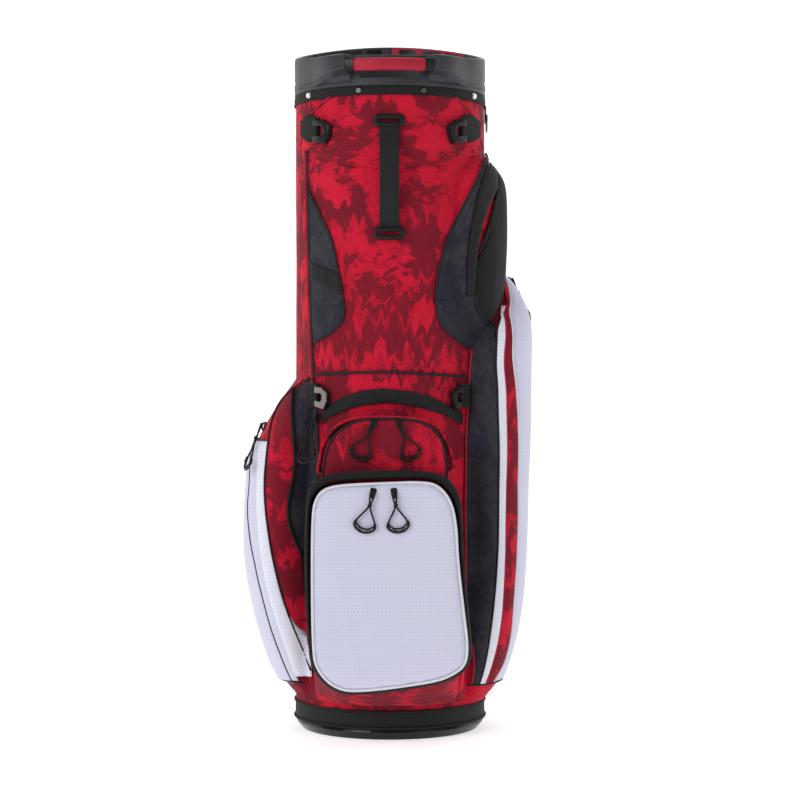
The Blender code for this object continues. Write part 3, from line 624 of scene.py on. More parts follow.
def sewn_panel(name, outline, material, slot, lift=0.0012, puff=0.0, soft=0.006, grid=0.004, wall=0.0010,
               nodes=(), front=False):
    """A panel whose outline is (angle, height) points on the skin, or (x, height) ones in front view."""
    middle = sum(z for _, z in outline) / len(outline)
    ring = [Vector(p) for p in outline] if front else [Vector((arc(a, middle), z)) for a, z in outline]
    ring = sampled(ring, grid * 0.8)
    points, faces = cut_pattern(ring, grid)
    solid, maps = [], []
    for p in points:
        rise = puff * (1 - math.exp(-edge_distance(p, ring) / soft)) if puff else 0.0
        angle = front_angle(p.x, p.y) if front else unarc(p.x, middle)
        solid.append(on_skin(angle, p.y, lift + rise))
        maps.append((arc(angle, p.y), p.y))
    faces = [tuple(f) for f in faces]
    a, b, c = (solid[i] for i in faces[0][:3])
    middle = (a + b + c) / 3
    if (b - a).cross(c - a).dot(Vector((middle.x, middle.y, 0))) < 0:
        faces = [f[::-1] for f in faces]
    obj = make_mesh(name, solid, faces, maps, material)
    thicken(obj, wall)
    return finish_piece(obj, "frame", slot, *nodes)


def strip(name, left, right, low, high, material, slot, lift=0.0012, puff=0.0, across=10):
    """A long panel between two edges, each a function from height to angle."""
    rows = max(2, int((high - low) / 0.004))
    points, maps = [], []
    for j in range(rows + 1):
        z = low + (high - low) * j / rows
        a, b = left(z)[0], right(z)[0]
        run = 0.0
        for i in range(across + 1):
            share = i / across
            rise = puff * (1 - abs(2 * share - 1) ** 4)
            p = on_skin(a + (b - a) * share, z, lift + rise)
            if i:
                run += (p - points[-1]).length
            points.append(p)
            maps.append((arc(a, z) + run, z))
    obj = make_mesh(name, points, sheet_faces(rows, across), maps, material)
    thicken(obj, 0.0010)
    return finish_piece(obj, "frame", slot)


print("panel helpers ready")

# %% [markdown]
# Piping is a cord wrapped in tape and caught in a seam. It is one tube swept along the seam's line, with a UV
# map that runs along it so the tape's ribs follow. Topstitching is one small lozenge of thread, copied along
# a line at an even pitch.

# %% Piping and stitches
def tube_along(name, points, radius, material, sides=8, closed=False, flat=1.0, up=None):
    """A tube along points. flat below 1 squashes it along up."""
    pts = [Vector(p) for p in points]
    count = len(pts)
    rings, maps, run = [], [], 0.0
    side = None
    for i, p in enumerate(pts):
        before = pts[i - 1] if i or closed else p
        after = pts[(i + 1) % count] if i < count - 1 or closed else p
        ahead = (after - before).normalized()
        if up is not None:
            side = ahead.cross(up).normalized()
        elif side is None:
            side = ahead.orthogonal().normalized()
        else:
            side = (side - ahead * side.dot(ahead)).normalized()
        over = side.cross(ahead)
        if i:
            run += (p - pts[i - 1]).length
        r = radius(i / max(count - 1, 1)) if callable(radius) else radius
        for k in range(sides):
            a = 2 * math.pi * k / sides
            rings.append(p + side * (r * math.cos(a)) + over * (r * flat * math.sin(a)))
            maps.append((run, r * a))
    faces = ring_faces(count, sides, closed)
    if not closed:
        faces.append(tuple(range(sides))[::-1])
        faces.append(tuple(range((count - 1) * sides, count * sides)))
    return outward(make_mesh(name, rings, [f[::-1] for f in faces], maps, material))


def outward(obj):
    bm = bmesh.new()
    bm.from_mesh(obj.data)
    bmesh.ops.recalc_face_normals(bm, faces=bm.faces)
    bm.to_mesh(obj.data)
    bm.free()
    return obj


def joined(name, parts):
    """Several meshes as one piece."""
    for part in parts:
        part.select_set(True)
    bpy.context.view_layer.objects.active = parts[0]
    if len(parts) > 1:
        bpy.ops.object.join()
    parts[0].name = parts[0].data.name = name
    parts[0].select_set(False)
    return parts[0]


def skin_line(points, lift=0.0):
    """A line on the skin through front-view points."""
    line = sampled([Vector(p) for p in rounded(points, 2, False)], 0.0024, False)
    return [on_skin(front_angle(p.x, p.y), p.y, lift) for p in line]


def cord(name, points, radius, material, slot="black_webbing", closed=False, body="frame"):
    return finish_piece(tube_along(name, points, radius, material, closed=closed), body, slot)


def piping(name, points, radius=0.0014, material=PIPING, slot="black_webbing", lift=0.0014):
    """A corded edge along front-view points."""
    return cord(name, skin_line(points, lift=lift), radius, material, slot)


STITCH_LENGTH, THREAD_R = 0.0021, 0.00042


def stitched(name, lines, material, slot="black_webbing", pitch=0.0032):
    """A lozenge of thread every pitch metres along each line of points."""
    points, faces, maps = [], [], []
    for line in lines:
        run = sampled([Vector(p) for p in line], 0.0004, False)
        travel, due = 0.0, 0.0
        for a, b in zip(run, run[1:]):
            travel += (b - a).length
            if travel < due or (b - a).length < 1e-7:
                continue
            due = travel + pitch
            ahead = (b - a).normalized()
            out = Vector((a.x, a.y, 0)).normalized()
            side = ahead.cross(out).normalized()
            start = len(points)
            for along, width in ((-0.5, 0.35), (-0.2, 1.0), (0.2, 1.0), (0.5, 0.35)):
                for k in range(5):
                    t = 2 * math.pi * k / 5
                    points.append(a + ahead * (STITCH_LENGTH * along) + side * (THREAD_R * width * math.cos(t))
                                  + out * (THREAD_R * width * math.sin(t)))
                    maps.append((along * STITCH_LENGTH, t * THREAD_R))
            for low in range(start, start + 15, 5):
                for k in range(5):
                    m = (k + 1) % 5
                    faces.append((low + k, low + 5 + k, low + 5 + m, low + m))
            faces.append(tuple(start + k for k in range(5)))
            faces.append(tuple(start + 15 + k for k in range(4, -1, -1)))
    obj = outward(make_mesh(name, points, faces, maps, material))
    return finish_piece(obj, "frame", slot)


print("piping and stitch helpers ready")

# %% [markdown]
# The first piece is the printed cloth itself, all the way round. It is a grid in turns and heights laid on
# the skin, so the tube, both side pockets and the sleeve come out as one cloth with soft folds where they
# meet.

# %% The printed skin
CLOTH_LOW, CLOTH_HIGH = 0.0355, 0.8060
PRINT_R = TUBE_R * 1.12     # the print is laid out a little wider than the tube


def ring_cloth(name, low, high, material, slot, lift=0.0, turns=180, step=0.004, wall=0.0012,
               nodes=(), place=on_skin):
    """Cloth that goes all the way round, with its seam at the back."""
    rows = max(2, int(round((high - low) / step)))
    points, maps = [], []
    for j in range(rows + 1):
        z = low + (high - low) * j / rows
        for i in range(turns + 1):
            angle = -180 + 360 * i / turns
            points.append(place(angle, z, lift))
            maps.append((math.radians(angle) * PRINT_R, z))
    obj = make_mesh(name, points, sheet_faces(rows, turns), maps, material)
    bm = bmesh.new()
    bm.from_mesh(obj.data)
    bmesh.ops.remove_doubles(bm, verts=bm.verts, dist=1e-6)
    bm.to_mesh(obj.data)
    bm.free()
    thicken(obj, wall)
    return finish_piece(obj, "frame", slot, *nodes)


UNDER.update(turn=1.6, depth=0.0015)
ring_cloth("bag_cloth", CLOTH_LOW, CLOTH_HIGH, CAMO, "red_fabric", lift=-0.0008, turns=260, step=0.0048,
           nodes=("body_shell", "left_pocket", "right_pocket", "bottle_sleeve"))
UNDER.update(turn=0.0, depth=0.0)

# %% [markdown]
# The upper front is a yoke: a second layer of the print that hangs from the mouth to a curved, twice-stitched
# seam. Its slanted sides are left open, and the strap clips' webbing comes out of those slits.

# %% Yoke, its seam and the side inserts
SEAM = [(-0.102, 0.741), (-0.075, 0.726), (-0.050, 0.717), (-0.014, 0.713), (0.012, 0.713), (0.063, 0.721),
        (0.115, 0.742)]
SLIT_LEFT = [(-0.073, 0.805), (-0.097, 0.787), (-0.1125, 0.748)]
SLIT_RIGHT = [(0.117, 0.746), (0.102, 0.788), (0.081, 0.805)]
sewn_panel("yoke", drawn(SLIT_LEFT + SEAM + SLIT_RIGHT), CAMO, "red_fabric", lift=0.0016, puff=0.0016,
           soft=0.012)
stitched("seam_stitches", [skin_line([(x, z + dz) for x, z in SEAM], lift=0.0036) for dz in (0.0015, 0.0085)],
         RED_PIPING, "red_fabric")
for side, slit in (("left", SLIT_LEFT), ("right", SLIT_RIGHT)):
    piping("slit_edge_" + side, slit, 0.0010, RED_PIPING, "red_fabric", lift=0.0024)

INSERT_EDGE = [(-0.1015, 0.690), (-0.087, 0.661), (-0.071, 0.627), (-0.064, 0.592), (-0.058, 0.558),
               (-0.055, 0.534), (-0.058, 0.522), (-0.070, 0.510), (-0.0945, 0.496)]
INSERT_SIDE = [(-0.098, 0.525), (-0.100, 0.601)]
sewn_panel("left_insert", drawn(INSERT_EDGE + INSERT_SIDE), HEATHER, "dark_fabric", lift=0.0012, puff=0.0008)
sewn_panel("insert_band", drawn([(-0.099, 0.601), (-0.0635, 0.585), (-0.0595, 0.558), (-0.098, 0.577)]),
           WEBBING,
           "black_webbing", lift=0.0024)
stitched("band_stitches", [skin_line([(-0.0875, 0.596), (-0.0860, 0.574)], lift=0.0040),
                           skin_line([(-0.0795, 0.592), (-0.0765, 0.569)], lift=0.0040),
                           skin_line([(-0.0770, 0.591), (-0.0740, 0.568)], lift=0.0040)],
         CORD, "black_webbing", pitch=0.0026)
piping("insert_piping", INSERT_EDGE, 0.0011)
VERT = [(-0.103, 0.741), (-0.102, 0.678), (-0.100, 0.601), (-0.098, 0.525), (-0.093, 0.430)]
piping("left_side_piping", VERT, 0.0012)
piping("left_side_trim", [(x - 0.0028, z) for x, z in VERT], 0.0010, RED_PIPING, "red_fabric")
H_PIPING = [(-0.092, 0.457), (-0.004, 0.461), (0.095, 0.454)]
piping("waist_piping", H_PIPING, 0.0017)
print("yoke and insert made")

# %% [markdown]
# On the right a padded bottle sleeve stands off the tube. Its face is dark heather inside a corded edge, then
# a ribbed tape, a lens of the print that shows through the opening, and a stretch cloth that holds a bottle.

# %% Bottle sleeve
SLEEVE_EDGE = [(0.125, 0.744), (0.109, 0.702), (0.087, 0.662), (0.071, 0.628), (0.061, 0.592), (0.056, 0.554),
               (0.059, 0.527), (0.069, 0.511), (0.099, 0.490)]
TAPE_IN = [(0.124, 0.727), (0.113, 0.699), (0.104, 0.661), (0.098, 0.629), (0.095, 0.592), (0.095, 0.556)]
TAPE_OUT = [(0.103, 0.556), (0.107, 0.613), (0.113, 0.644), (0.122, 0.669), (0.133, 0.694), (0.1325, 0.719)]
CUFF = [(0.104, 0.557), (0.107, 0.540), (0.115, 0.528), (0.123, 0.520), (0.131, 0.5135)]
LENS = [(0.106, 0.604), (0.109, 0.620), (0.115, 0.646), (0.126, 0.671), (0.1345, 0.690), (0.1355, 0.680),
        (0.132, 0.662), (0.124, 0.637), (0.114, 0.614)]
heather_face = SLEEVE_EDGE + [(0.118, 0.495), (0.130, 0.504)] + CUFF[::-1] + TAPE_IN[::-1]
sewn_panel("sleeve_face", heather_face, HEATHER, "dark_fabric", lift=0.0018, puff=0.0024, soft=0.010,
           grid=0.003, front=True)
sewn_panel("sleeve_tape", TAPE_IN + TAPE_OUT, WEBBING, "black_webbing", lift=0.0040, grid=0.003, front=True)
stretch = drawn([(0.103, 0.556)] + CUFF) + [(65, 0.526), (70, 0.542), (79, 0.562), (88, 0.584), (94, 0.61),
                                            (95.5, 0.65), (95, 0.68), (91, 0.719)]
stretch += drawn([(0.1325, 0.719), (0.1345, 0.694)]) + drawn(LENS[:1] + LENS[:4:-1]) + drawn([(0.104, 0.590)])
sewn_panel("sleeve_stretch", stretch, STRETCH, "black_webbing", lift=0.0020, puff=0.0030, soft=0.012)
piping("sleeve_piping", SLEEVE_EDGE, 0.0015)
piping("cuff_piping", CUFF, 0.0014, lift=0.0030)
piping("tape_piping", TAPE_IN, 0.0008, lift=0.0036)
stitched("sleeve_stitches", [skin_line([(x + 0.007, z - 0.002) for x, z in SLEEVE_EDGE[1:-2]], lift=0.0038),
                             skin_line([(0.056, 0.548), (0.097, 0.5565)], lift=0.0040)],
         CORD, "black_webbing", pitch=0.0034)
print("bottle sleeve made")

# %% [markdown]
# The side pockets are striped: long panels that run from the top of the pocket down to the base and draw
# together there. Each is a strip between two edges, and each edge is a smooth curve from height to angle.

# %% Stripes of the right pocket
def edge(points, more=()):
    """Front-view points, and (height, angle) rows where the front doesn't show the edge."""
    return through([(z, front_angle(x, z)) for x, z in points] + list(more))


STRIPES = [
    edge([(0.1015, 0.490), (0.0985, 0.450), (0.0965, 0.414), (0.094, 0.336), (0.094, 0.223), (0.097, 0.123),
          (0.102, 0.068)]),
    edge([(0.1385, 0.531), (0.1335, 0.511), (0.1325, 0.490), (0.1335, 0.440), (0.1355, 0.361),
          (0.1345, 0.248),
          (0.127, 0.147), (0.111, 0.064)], [(0.553, 76)]),
    edge([(0.1475, 0.553), (0.1435, 0.531), (0.1435, 0.490), (0.1455, 0.424), (0.146, 0.336), (0.144, 0.222),
          (0.136, 0.122), (0.118, 0.062)], [(0.575, 87), (0.600, 104)]),
    edge([(0.1525, 0.553), (0.1510, 0.531), (0.1535, 0.490), (0.158, 0.440), (0.161, 0.386), (0.161, 0.272),
          (0.156, 0.170), (0.146, 0.094), (0.130, 0.064)], [(0.575, 89), (0.600, 106)]),
    through([(0.060, 130), (0.140, 134), (0.430, 134), (0.600, 131)])]
strip("right_heather", STRIPES[0], STRIPES[1], 0.064, 0.504, HEATHER, "dark_fabric", lift=0.0012, puff=0.0014)
strip("right_zip_tape", STRIPES[1], STRIPES[2], 0.062, 0.545, WHITE_TAPE, "white_fabric", lift=0.0016,
      puff=0.0010)
strip("right_print", STRIPES[2], STRIPES[3], 0.062, 0.575, CAMO, "red_fabric", lift=0.0014, puff=0.0010)
strip("right_white", STRIPES[3], STRIPES[4], 0.062, 0.588, WHITE, "white_fabric", lift=0.0012, puff=0.0020,
      across=24)


def edge_cord(name, side, low, high, radius, material, slot, lift=0.0018):
    """A corded edge along one side of a stripe."""
    count = int((high - low) / 0.004)
    heights = [low + (high - low) * i / count for i in range(count + 1)]
    return cord(name, [on_skin(side(z)[0], z, lift) for z in heights], radius, material, slot)


edge_cord("right_front_piping", STRIPES[0], 0.064, 0.490, 0.0015, RED_PIPING, "red_fabric")
edge_cord("right_tape_piping_a", STRIPES[1], 0.062, 0.531, 0.0012, PIPING, "black_webbing")
edge_cord("right_tape_piping_b", STRIPES[2], 0.062, 0.536, 0.0011, RED_PIPING, "red_fabric")
edge_cord("right_print_piping", STRIPES[3], 0.062, 0.575, 0.0012, WHITE_PIPING, "white_fabric")
print("right pocket stripes made")

# %% [markdown]
# The left pocket has the print in front, with a slash opening that shows dark cloth inside, then a zip tape
# and white cloth round the side.

# %% Stripes of the left pocket
LEFT_ARC = [(-0.098, 0.453), (-0.122, 0.438), (-0.138, 0.420), (-0.147, 0.397), (-0.151, 0.362),
            (-0.155, 0.321),
            (-0.153, 0.281), (-0.144, 0.222), (-0.127, 0.158), (-0.096, 0.082)]
SLASH_EDGE = [(-0.118, 0.439), (-0.119, 0.410), (-0.116, 0.379), (-0.1135, 0.339), (-0.124, 0.293),
              (-0.122, 0.266), (-0.107, 0.229)]
arc_edge = edge(LEFT_ARC[3:])
tape_edge = edge([(-0.163, 0.372), (-0.1655, 0.330), (-0.166, 0.290), (-0.162, 0.242), (-0.148, 0.169),
                  (-0.112, 0.064)])
zip_edge = edge([(-0.172, 0.372), (-0.1765, 0.327), (-0.179, 0.286), (-0.174, 0.239), (-0.168, 0.212),
                 (-0.144, 0.122), (-0.118, 0.061)])
left_back = through([(0.060, -131), (0.140, -136), (0.380, -136), (0.420, -131)])
sewn_panel("slash_lining", [(-0.098, 0.452), (-0.117, 0.441), (-0.122, 0.410), (-0.121, 0.375),
                            (-0.122, 0.330), (-0.1275, 0.290), (-0.1255, 0.262), (-0.112, 0.225),
                            (-0.104, 0.150), (-0.098, 0.105), (-0.092, 0.105), (-0.094, 0.230),
                            (-0.092, 0.300), (-0.088, 0.340), (-0.089, 0.400), (-0.0925, 0.445)],
           HEATHER, "dark_fabric", lift=0.0012, grid=0.003, front=True)
sewn_panel("left_print", LEFT_ARC + [(-0.100, 0.150)] + SLASH_EDGE[::-1], CAMO, "red_fabric",
           lift=0.0030, puff=0.0026, soft=0.010, wall=0.0016, grid=0.003, front=True)
strip("left_zip_tape", arc_edge, tape_edge, 0.074, 0.372, WHITE_TAPE, "white_fabric", lift=0.0022,
      puff=0.0012)
strip("left_white_front", tape_edge, zip_edge, 0.068, 0.372, WHITE, "white_fabric", lift=0.0014, puff=0.0008)
strip("left_white", zip_edge, left_back, 0.064, 0.372, WHITE, "white_fabric", lift=0.0010, puff=0.0022,
      across=24)
piping("left_arc_piping", LEFT_ARC, 0.0013, lift=0.0040)
piping("slash_binding", SLASH_EDGE, 0.0021, BINDING, lift=0.0054)
edge_cord("left_zip_teeth", zip_edge, 0.066, 0.372, 0.0014, CORD, "black_webbing", 0.0022)
edge_cord("left_tape_cord", tape_edge, 0.074, 0.372, 0.0010, WHITE_PIPING, "white_fabric", 0.0024)
print("left pocket stripes made")

# %% [markdown]
# Below the waist a broad black strap arches over the two front pockets. The upper, small pocket is a padded
# face of the print with a dark corded edge, the lower, large one a white door in a black gusset. Both stand
# on flat faces, so their outlines are drawn straight in front view.

# %% Arched strap
ARCH = [(-0.0835, 0.411), (-0.0745, 0.4185), (-0.050, 0.432), (-0.036, 0.4365), (-0.009, 0.4395),
        (0.027, 0.436),
        (0.051, 0.429), (0.070, 0.419), (0.0905, 0.4075), (0.0905, 0.394), (0.063, 0.408), (0.027, 0.418),
        (-0.006, 0.4215), (-0.037, 0.4175), (-0.050, 0.4135), (-0.0745, 0.403), (-0.084, 0.3945)]
sewn_panel("arched_strap", drawn(ARCH), WEBBING, "black_webbing", lift=0.0022, wall=0.0014)


PAD_GRID = 0.004


def face_pad(name, outline, front, back, crown, material, slot, body, edge_round, crease, nodes=()):
    """A padded panel on an upright plane. outline is (x, height), front and back are depths."""
    ring = sampled([Vector(p) for p in rounded(outline, 3)], PAD_GRID * 0.7)
    pts, faces = cut_pattern(ring, PAD_GRID)
    faces = [tuple(f) for f in faces]
    solid, maps = [], []
    for p in pts:
        d = edge_distance(p, ring)
        curve = math.sqrt(max(0.0, 1 - (1 - min(d / edge_round, 1.0)) ** 2))
        rise = (back - front) * (0.25 + 0.75 * curve) + crown * (1 - math.exp(-d / 0.022))
        rise += crease(p.x, p.y) * min(1.0, d / 0.015)
        solid.append(Vector((p.x, back - rise, p.y)))
        maps.append((p.x, p.y))
    count = len(pts)
    rim = len(ring)
    a, b, c = (solid[i] for i in faces[0][:3])
    if (b - a).cross(c - a).y > 0:
        faces = [f[::-1] for f in faces]
    behind = [Vector((p.x, back, p.y)) for p in pts]
    all_faces = faces + [tuple(i + count for i in f[::-1]) for f in faces]
    sides = [(i, (i + 1) % rim, (i + 1) % rim + count, i + count) for i in range(rim)]
    obj = make_mesh(name, solid + behind, all_faces + sides, maps + maps, material)
    outward(obj)
    return finish_piece(obj, body, slot, *nodes), ring


def flat_line(ring, depth):
    """A ring of (x, height) points put upright at a depth."""
    return [(p[0], depth, p[1]) for p in ring]


ACC_LOW, ACC_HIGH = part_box("accessory_pocket")
ACC_FRONT = ACC_LOW.y
ARCH_FACE = [(-0.083, 0.310), (-0.081, 0.342), (-0.077, 0.365), (-0.066, 0.385), (-0.050, 0.396),
             (-0.031, 0.402),
             (0.012, 0.403), (0.039, 0.399), (0.055, 0.390), (0.064, 0.377), (0.069, 0.361), (0.073, 0.310)]


def face_folds(x, z):
    return 0.0012 * noise.noise(Vector((x * 22, z * 22, 3.0)))


pad, ring = face_pad("accessory_face", ARCH_FACE, ACC_FRONT, ACC_FRONT + 0.006, 0.004, CAMO, "red_fabric",
                     "frame",
                     edge_round=0.006, crease=face_folds)
cord("accessory_piping", flat_line(ring, ACC_FRONT + 0.003), 0.0016, PIPING, closed=True)


def gusset(name, rings, material, slot, wall=0.002, nodes=()):
    """Side cloth of a boxed pocket, from ring to ring."""
    count = len(rings[0])
    points = [p for ring in rings for p in ring]
    maps = []
    for ring in rings:
        run = 0.0
        for i, p in enumerate(ring):
            run += (Vector(p) - Vector(ring[i - 1])).length if i else 0.0
            maps.append((run, ring[0][1]))
    obj = outward(make_mesh(name, points, ring_faces(len(rings), count), maps, material))
    thicken(obj, wall)
    return finish_piece(obj, "frame", slot, *nodes)


def grown(ring, amount):
    """A ring moved outwards by an amount."""
    found = []
    count = len(ring)
    for i, p in enumerate(ring):
        ahead = (ring[(i + 1) % count] - ring[i - 1]).normalized()
        found.append(p + Vector((ahead.y, -ahead.x)) * amount)
    middle = sum(ring, Vector((0, 0))) / count
    if (found[0] - middle).length < (ring[0] - middle).length and amount > 0:
        found = [p * 2 - q for p, q in zip(ring, found)]
    return found


side_ring = sampled([Vector(p) for p in rounded(
    [(-0.087, ACC_LOW.z + 0.002), (-0.086, 0.345), (-0.081, 0.372), (-0.066, 0.394), (-0.040, 0.4035),
     (0.020, 0.4035), (0.052, 0.397), (0.068, 0.378), (0.077, 0.355), (0.079, ACC_LOW.z + 0.002)], 3)], 0.004)
depths = [ACC_FRONT + back for back in (0.004, 0.012, 0.026, 0.044, 0.064)]
gusset("accessory_gusset", [flat_line(grown(side_ring, out), y)
                            for y, out in zip(depths, (-0.003, 0.000, 0.001, 0.0, 0.001))],
       CAMO, "red_fabric", nodes=("accessory_pocket",))
cord("accessory_gusset_piping", flat_line(grown(side_ring, 0.001), depths[1]), 0.0016, PIPING, closed=True)
print("accessory pocket made")

# %% [markdown]
# The large pocket's door is a padded white pad on its own body. The pocket's sides, its black zip surround
# and the cloth below it stay with the bag.

# %% Large pocket and its white door
BALL_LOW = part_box("ball_pocket")[0]
DOOR_LOW, DOOR_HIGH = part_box("ball_pocket_door")
DOOR = [(-0.093, 0.284), (-0.088, 0.307), (-0.078, 0.3175), (-0.058, 0.322), (-0.012, 0.324), (0.046, 0.326),
        (0.062, 0.319), (0.0745, 0.302), (0.0805, 0.273), (0.082, 0.233), (0.089, 0.171), (0.0945, 0.128),
        (0.092, 0.105), (0.078, 0.094), (0.059, 0.086), (0.022, 0.080), (-0.012, 0.0755), (-0.040, 0.0735),
        (-0.056, 0.0745), (-0.072, 0.082), (-0.086, 0.098), (-0.0925, 0.120)]


def door_folds(x, z):
    """Two faint creases that lean together towards the bottom, and slack in the cloth."""
    rise = 0.0008 * noise.noise(Vector((x * 16, z * 12, 9.0)))
    for side in (-1, 1):
        line = side * (0.030 + (z - 0.07) * 0.20)
        if z < 0.215:
            rise += 0.0007 * math.exp(-((x + 0.004 - line) / 0.006) ** 2)
    return rise


door, ring = face_pad("ball_pocket_face", DOOR, DOOR_LOW.y, DOOR_HIGH.y, 0.0035, WHITE, "white_fabric",
                      "ball_pocket_door", edge_round=0.005, crease=door_folds, nodes=("ball_pocket_door",))
cord("door_piping", flat_line(grown(ring, 0.0006), DOOR_LOW.y + 0.0022), 0.0018, WHITE_PIPING, "white_fabric",
     closed=True, body="ball_pocket_door")
POCKET_EDGE = [(-0.0985, 0.303), (-0.092, 0.322), (-0.075, 0.332), (-0.045, 0.3365), (0.030, 0.338),
               (0.062, 0.333),
               (0.078, 0.319), (0.0850, 0.300), (0.0868, 0.250), (0.0920, 0.170), (0.0925, 0.125),
               (0.0890, 0.106),
               (0.076, 0.097), (0.058, 0.090), (0.020, 0.084), (-0.014, 0.0795), (-0.038, 0.0780),
               (-0.054, 0.0790),
               (-0.070, 0.086), (-0.084, 0.102), (-0.0935, 0.124), (-0.0985, 0.160), (-0.1000, 0.240)]
pocket_ring = sampled([Vector(p) for p in rounded(POCKET_EDGE, 3)], 0.005)
gusset("ball_pocket_gusset", [flat_line(grown(pocket_ring, out), BALL_LOW.y + back) for back, out in
                              ((0.0, -0.0025), (0.004, 0.0), (0.020, 0.0022), (0.045, 0.003), (0.075, 0.0015),
                               (0.110, 0.0))],
       GUSSET, "black_webbing", wall=0.0025, nodes=("ball_pocket",))
cord("gusset_binding", flat_line(grown(pocket_ring, -0.002), BALL_LOW.y + 0.0015), 0.0014, BINDING,
     closed=True)


def by_angle(ring, middle):
    """The ring's points at even turns round its middle."""
    found = []
    for i in range(144):
        a = 2 * math.pi * i / 144
        ray = Vector((math.cos(a), math.sin(a)))
        best = 0.0
        for p, q in zip(ring, ring[1:] + ring[:1]):
            d, e = q - p, p - middle
            cross = ray.x * d.y - ray.y * d.x
            if abs(cross) > 1e-12:
                t = (e.x * d.y - e.y * d.x) / cross
                share = (e.x * ray.y - e.y * ray.x) / cross
                if 0 <= share <= 1 and t > best:
                    best = t
        found.append(middle + ray * best)
    return found


heart = Vector((-0.004, 0.2))
CHIN_ANGLE, CHIN_LOW = 52.0, 0.0440


def chin(angle, share):
    """From the base hem up and out to the pocket's lower edge."""
    across = angle / CHIN_ANGLE
    low = on_skin(angle, CHIN_LOW, 0.0015 - 0.005 * abs(across) ** 6)
    x = -0.002 + 0.0955 * math.sin(across * math.pi / 2)
    best = min(pocket_ring, key=lambda p: abs(p.x - x) + (10 if p.y > 0.2 else 0))
    edge_y = BALL_LOW.y + 0.004 + 0.050 * abs(across) ** 4
    high = Vector((x, edge_y, best.y + 0.002))
    p = low.lerp(high, share)
    belly = math.sin(math.pi * share) * 0.006 * (1 - abs(across) ** 4)
    p += Vector((0, -1, -0.4)) * belly
    p.z += 0.0012 * noise.noise(Vector((angle * 0.12, share * 3, 5)))
    return p


rows, columns = 14, 60
points = [chin(-CHIN_ANGLE + 2 * CHIN_ANGLE * i / columns, j / rows)
          for j in range(rows + 1) for i in range(columns + 1)]
maps = [(p.x * 1.1, p.z - p.y * 0.5) for p in points]
under = make_mesh("pocket_underside", points, sheet_faces(rows, columns), maps, CAMO)
thicken(under, 0.0012)
finish_piece(under, "frame", "red_fabric")
outer = by_angle(grown(pocket_ring, -0.001), heart)
inner = by_angle(grown(ring, -0.006), heart)
gusset("zip_surround", [flat_line([o.lerp(i, share) for o, i in zip(outer, inner)], BALL_LOW.y + back)
                        for share, back in ((0.0, 0.0), (0.25, -0.0014), (0.6, -0.0008), (1.0, 0.002))],
       GUSSET, "black_webbing", wall=0.0012)
print("large pocket made")

# %% [markdown]
# The mouth and the foot of the tube are bound with tape. Both rings are cloth strips laid on the skin.

# %% Top binding and base band
MOUTH_LOW, MOUTH_HIGH = 0.8035, 0.8158


def mouth(angle, z, lift):
    """The mouth's binding, a little rounded from edge to edge."""
    return around(angle, TUBE_R + lift + 0.0008 * math.sin((z - MOUTH_LOW) * 255), z)


ring_cloth("mouth_binding", MOUTH_LOW, MOUTH_HIGH, BINDING, "black_webbing", lift=0.0016, step=0.0016,
           wall=0.0016,
           nodes=("top_binding",), place=mouth)
for name, height, radius in (("mouth_edge_cord", 0.8042, 0.0014), ("base_edge_cord", 0.0365, 0.0016)):
    line = [around(2 * i, TUBE_R + 0.0012 + radius * 0.3, height) for i in range(180)]
    cord(name, line, radius, BINDING, closed=True)
KICK_TURN, KICK_TOP = 153.0, 0.0280     # the band stops beside the kick plate and passes over it
cord("base_low_cord", [around(-KICK_TURN + 2 * i, TUBE_R + 0.0017, 0.0160) for i in range(154)], 0.0018,
     BINDING)
for name, first, last, low, across in (("base_band", -KICK_TURN, KICK_TURN, 0.0145, 120),
                                       ("base_band_rear_left", -180, -KICK_TURN, KICK_TOP, 12),
                                       ("base_band_rear_right", KICK_TURN, 180, KICK_TOP, 12)):
    strip(name, through([(0, first), (1, first)]), through([(0, last), (1, last)]), low, 0.0370, WEBBING,
          "black_webbing", lift=0.0002, across=across)
hem = [on_skin(a, 0.0455, 0.0006) for a in range(-180, 181)]
stitched("hem_stitches", [hem], RED_PIPING, "red_fabric")
print("bindings made")

# %% [markdown]
# The hard parts are moulded, so they are modelled as plates and bars with rounded edges. A plate starts as a
# filled circle with as many corners as its outline. Its corners are moved to the outline, it is extruded to
# its thickness, and a Bevel takes the sharpness off. Bent bars are tubes swept along a line.

# %% Moulded plates
def plate(name, outline, thick, round_by, material, place):
    """A plate in X and Z that is thick along -Y, then put in place by a matrix."""
    bpy.ops.mesh.primitive_circle_add(vertices=len(outline), radius=1, fill_type="NGON")
    obj = bpy.context.object
    obj.name = obj.data.name = name
    for vertex, (x, z) in zip(obj.data.vertices, outline):
        vertex.co = (x, 0, z)
    bpy.ops.object.mode_set(mode="EDIT")
    bpy.ops.mesh.select_all(action="SELECT")
    bpy.ops.mesh.extrude_region_move(TRANSFORM_OT_translate={"value": (0, -thick, 0)})
    bpy.ops.mesh.select_all(action="SELECT")
    bpy.ops.mesh.normals_make_consistent(inside=False)
    bpy.ops.object.mode_set(mode="OBJECT")
    bevel = obj.modifiers.new("edges", "BEVEL")
    bevel.width, bevel.segments, bevel.limit_method = round_by, 2, "ANGLE"
    bevel.angle_limit = math.radians(20)
    bpy.ops.object.modifier_apply(modifier="edges")
    smooth_below(obj, 40)
    obj.data.materials.append(material)
    obj.data.transform(place)
    if place.determinant() < 0:
        obj.data.flip_normals()
    return obj


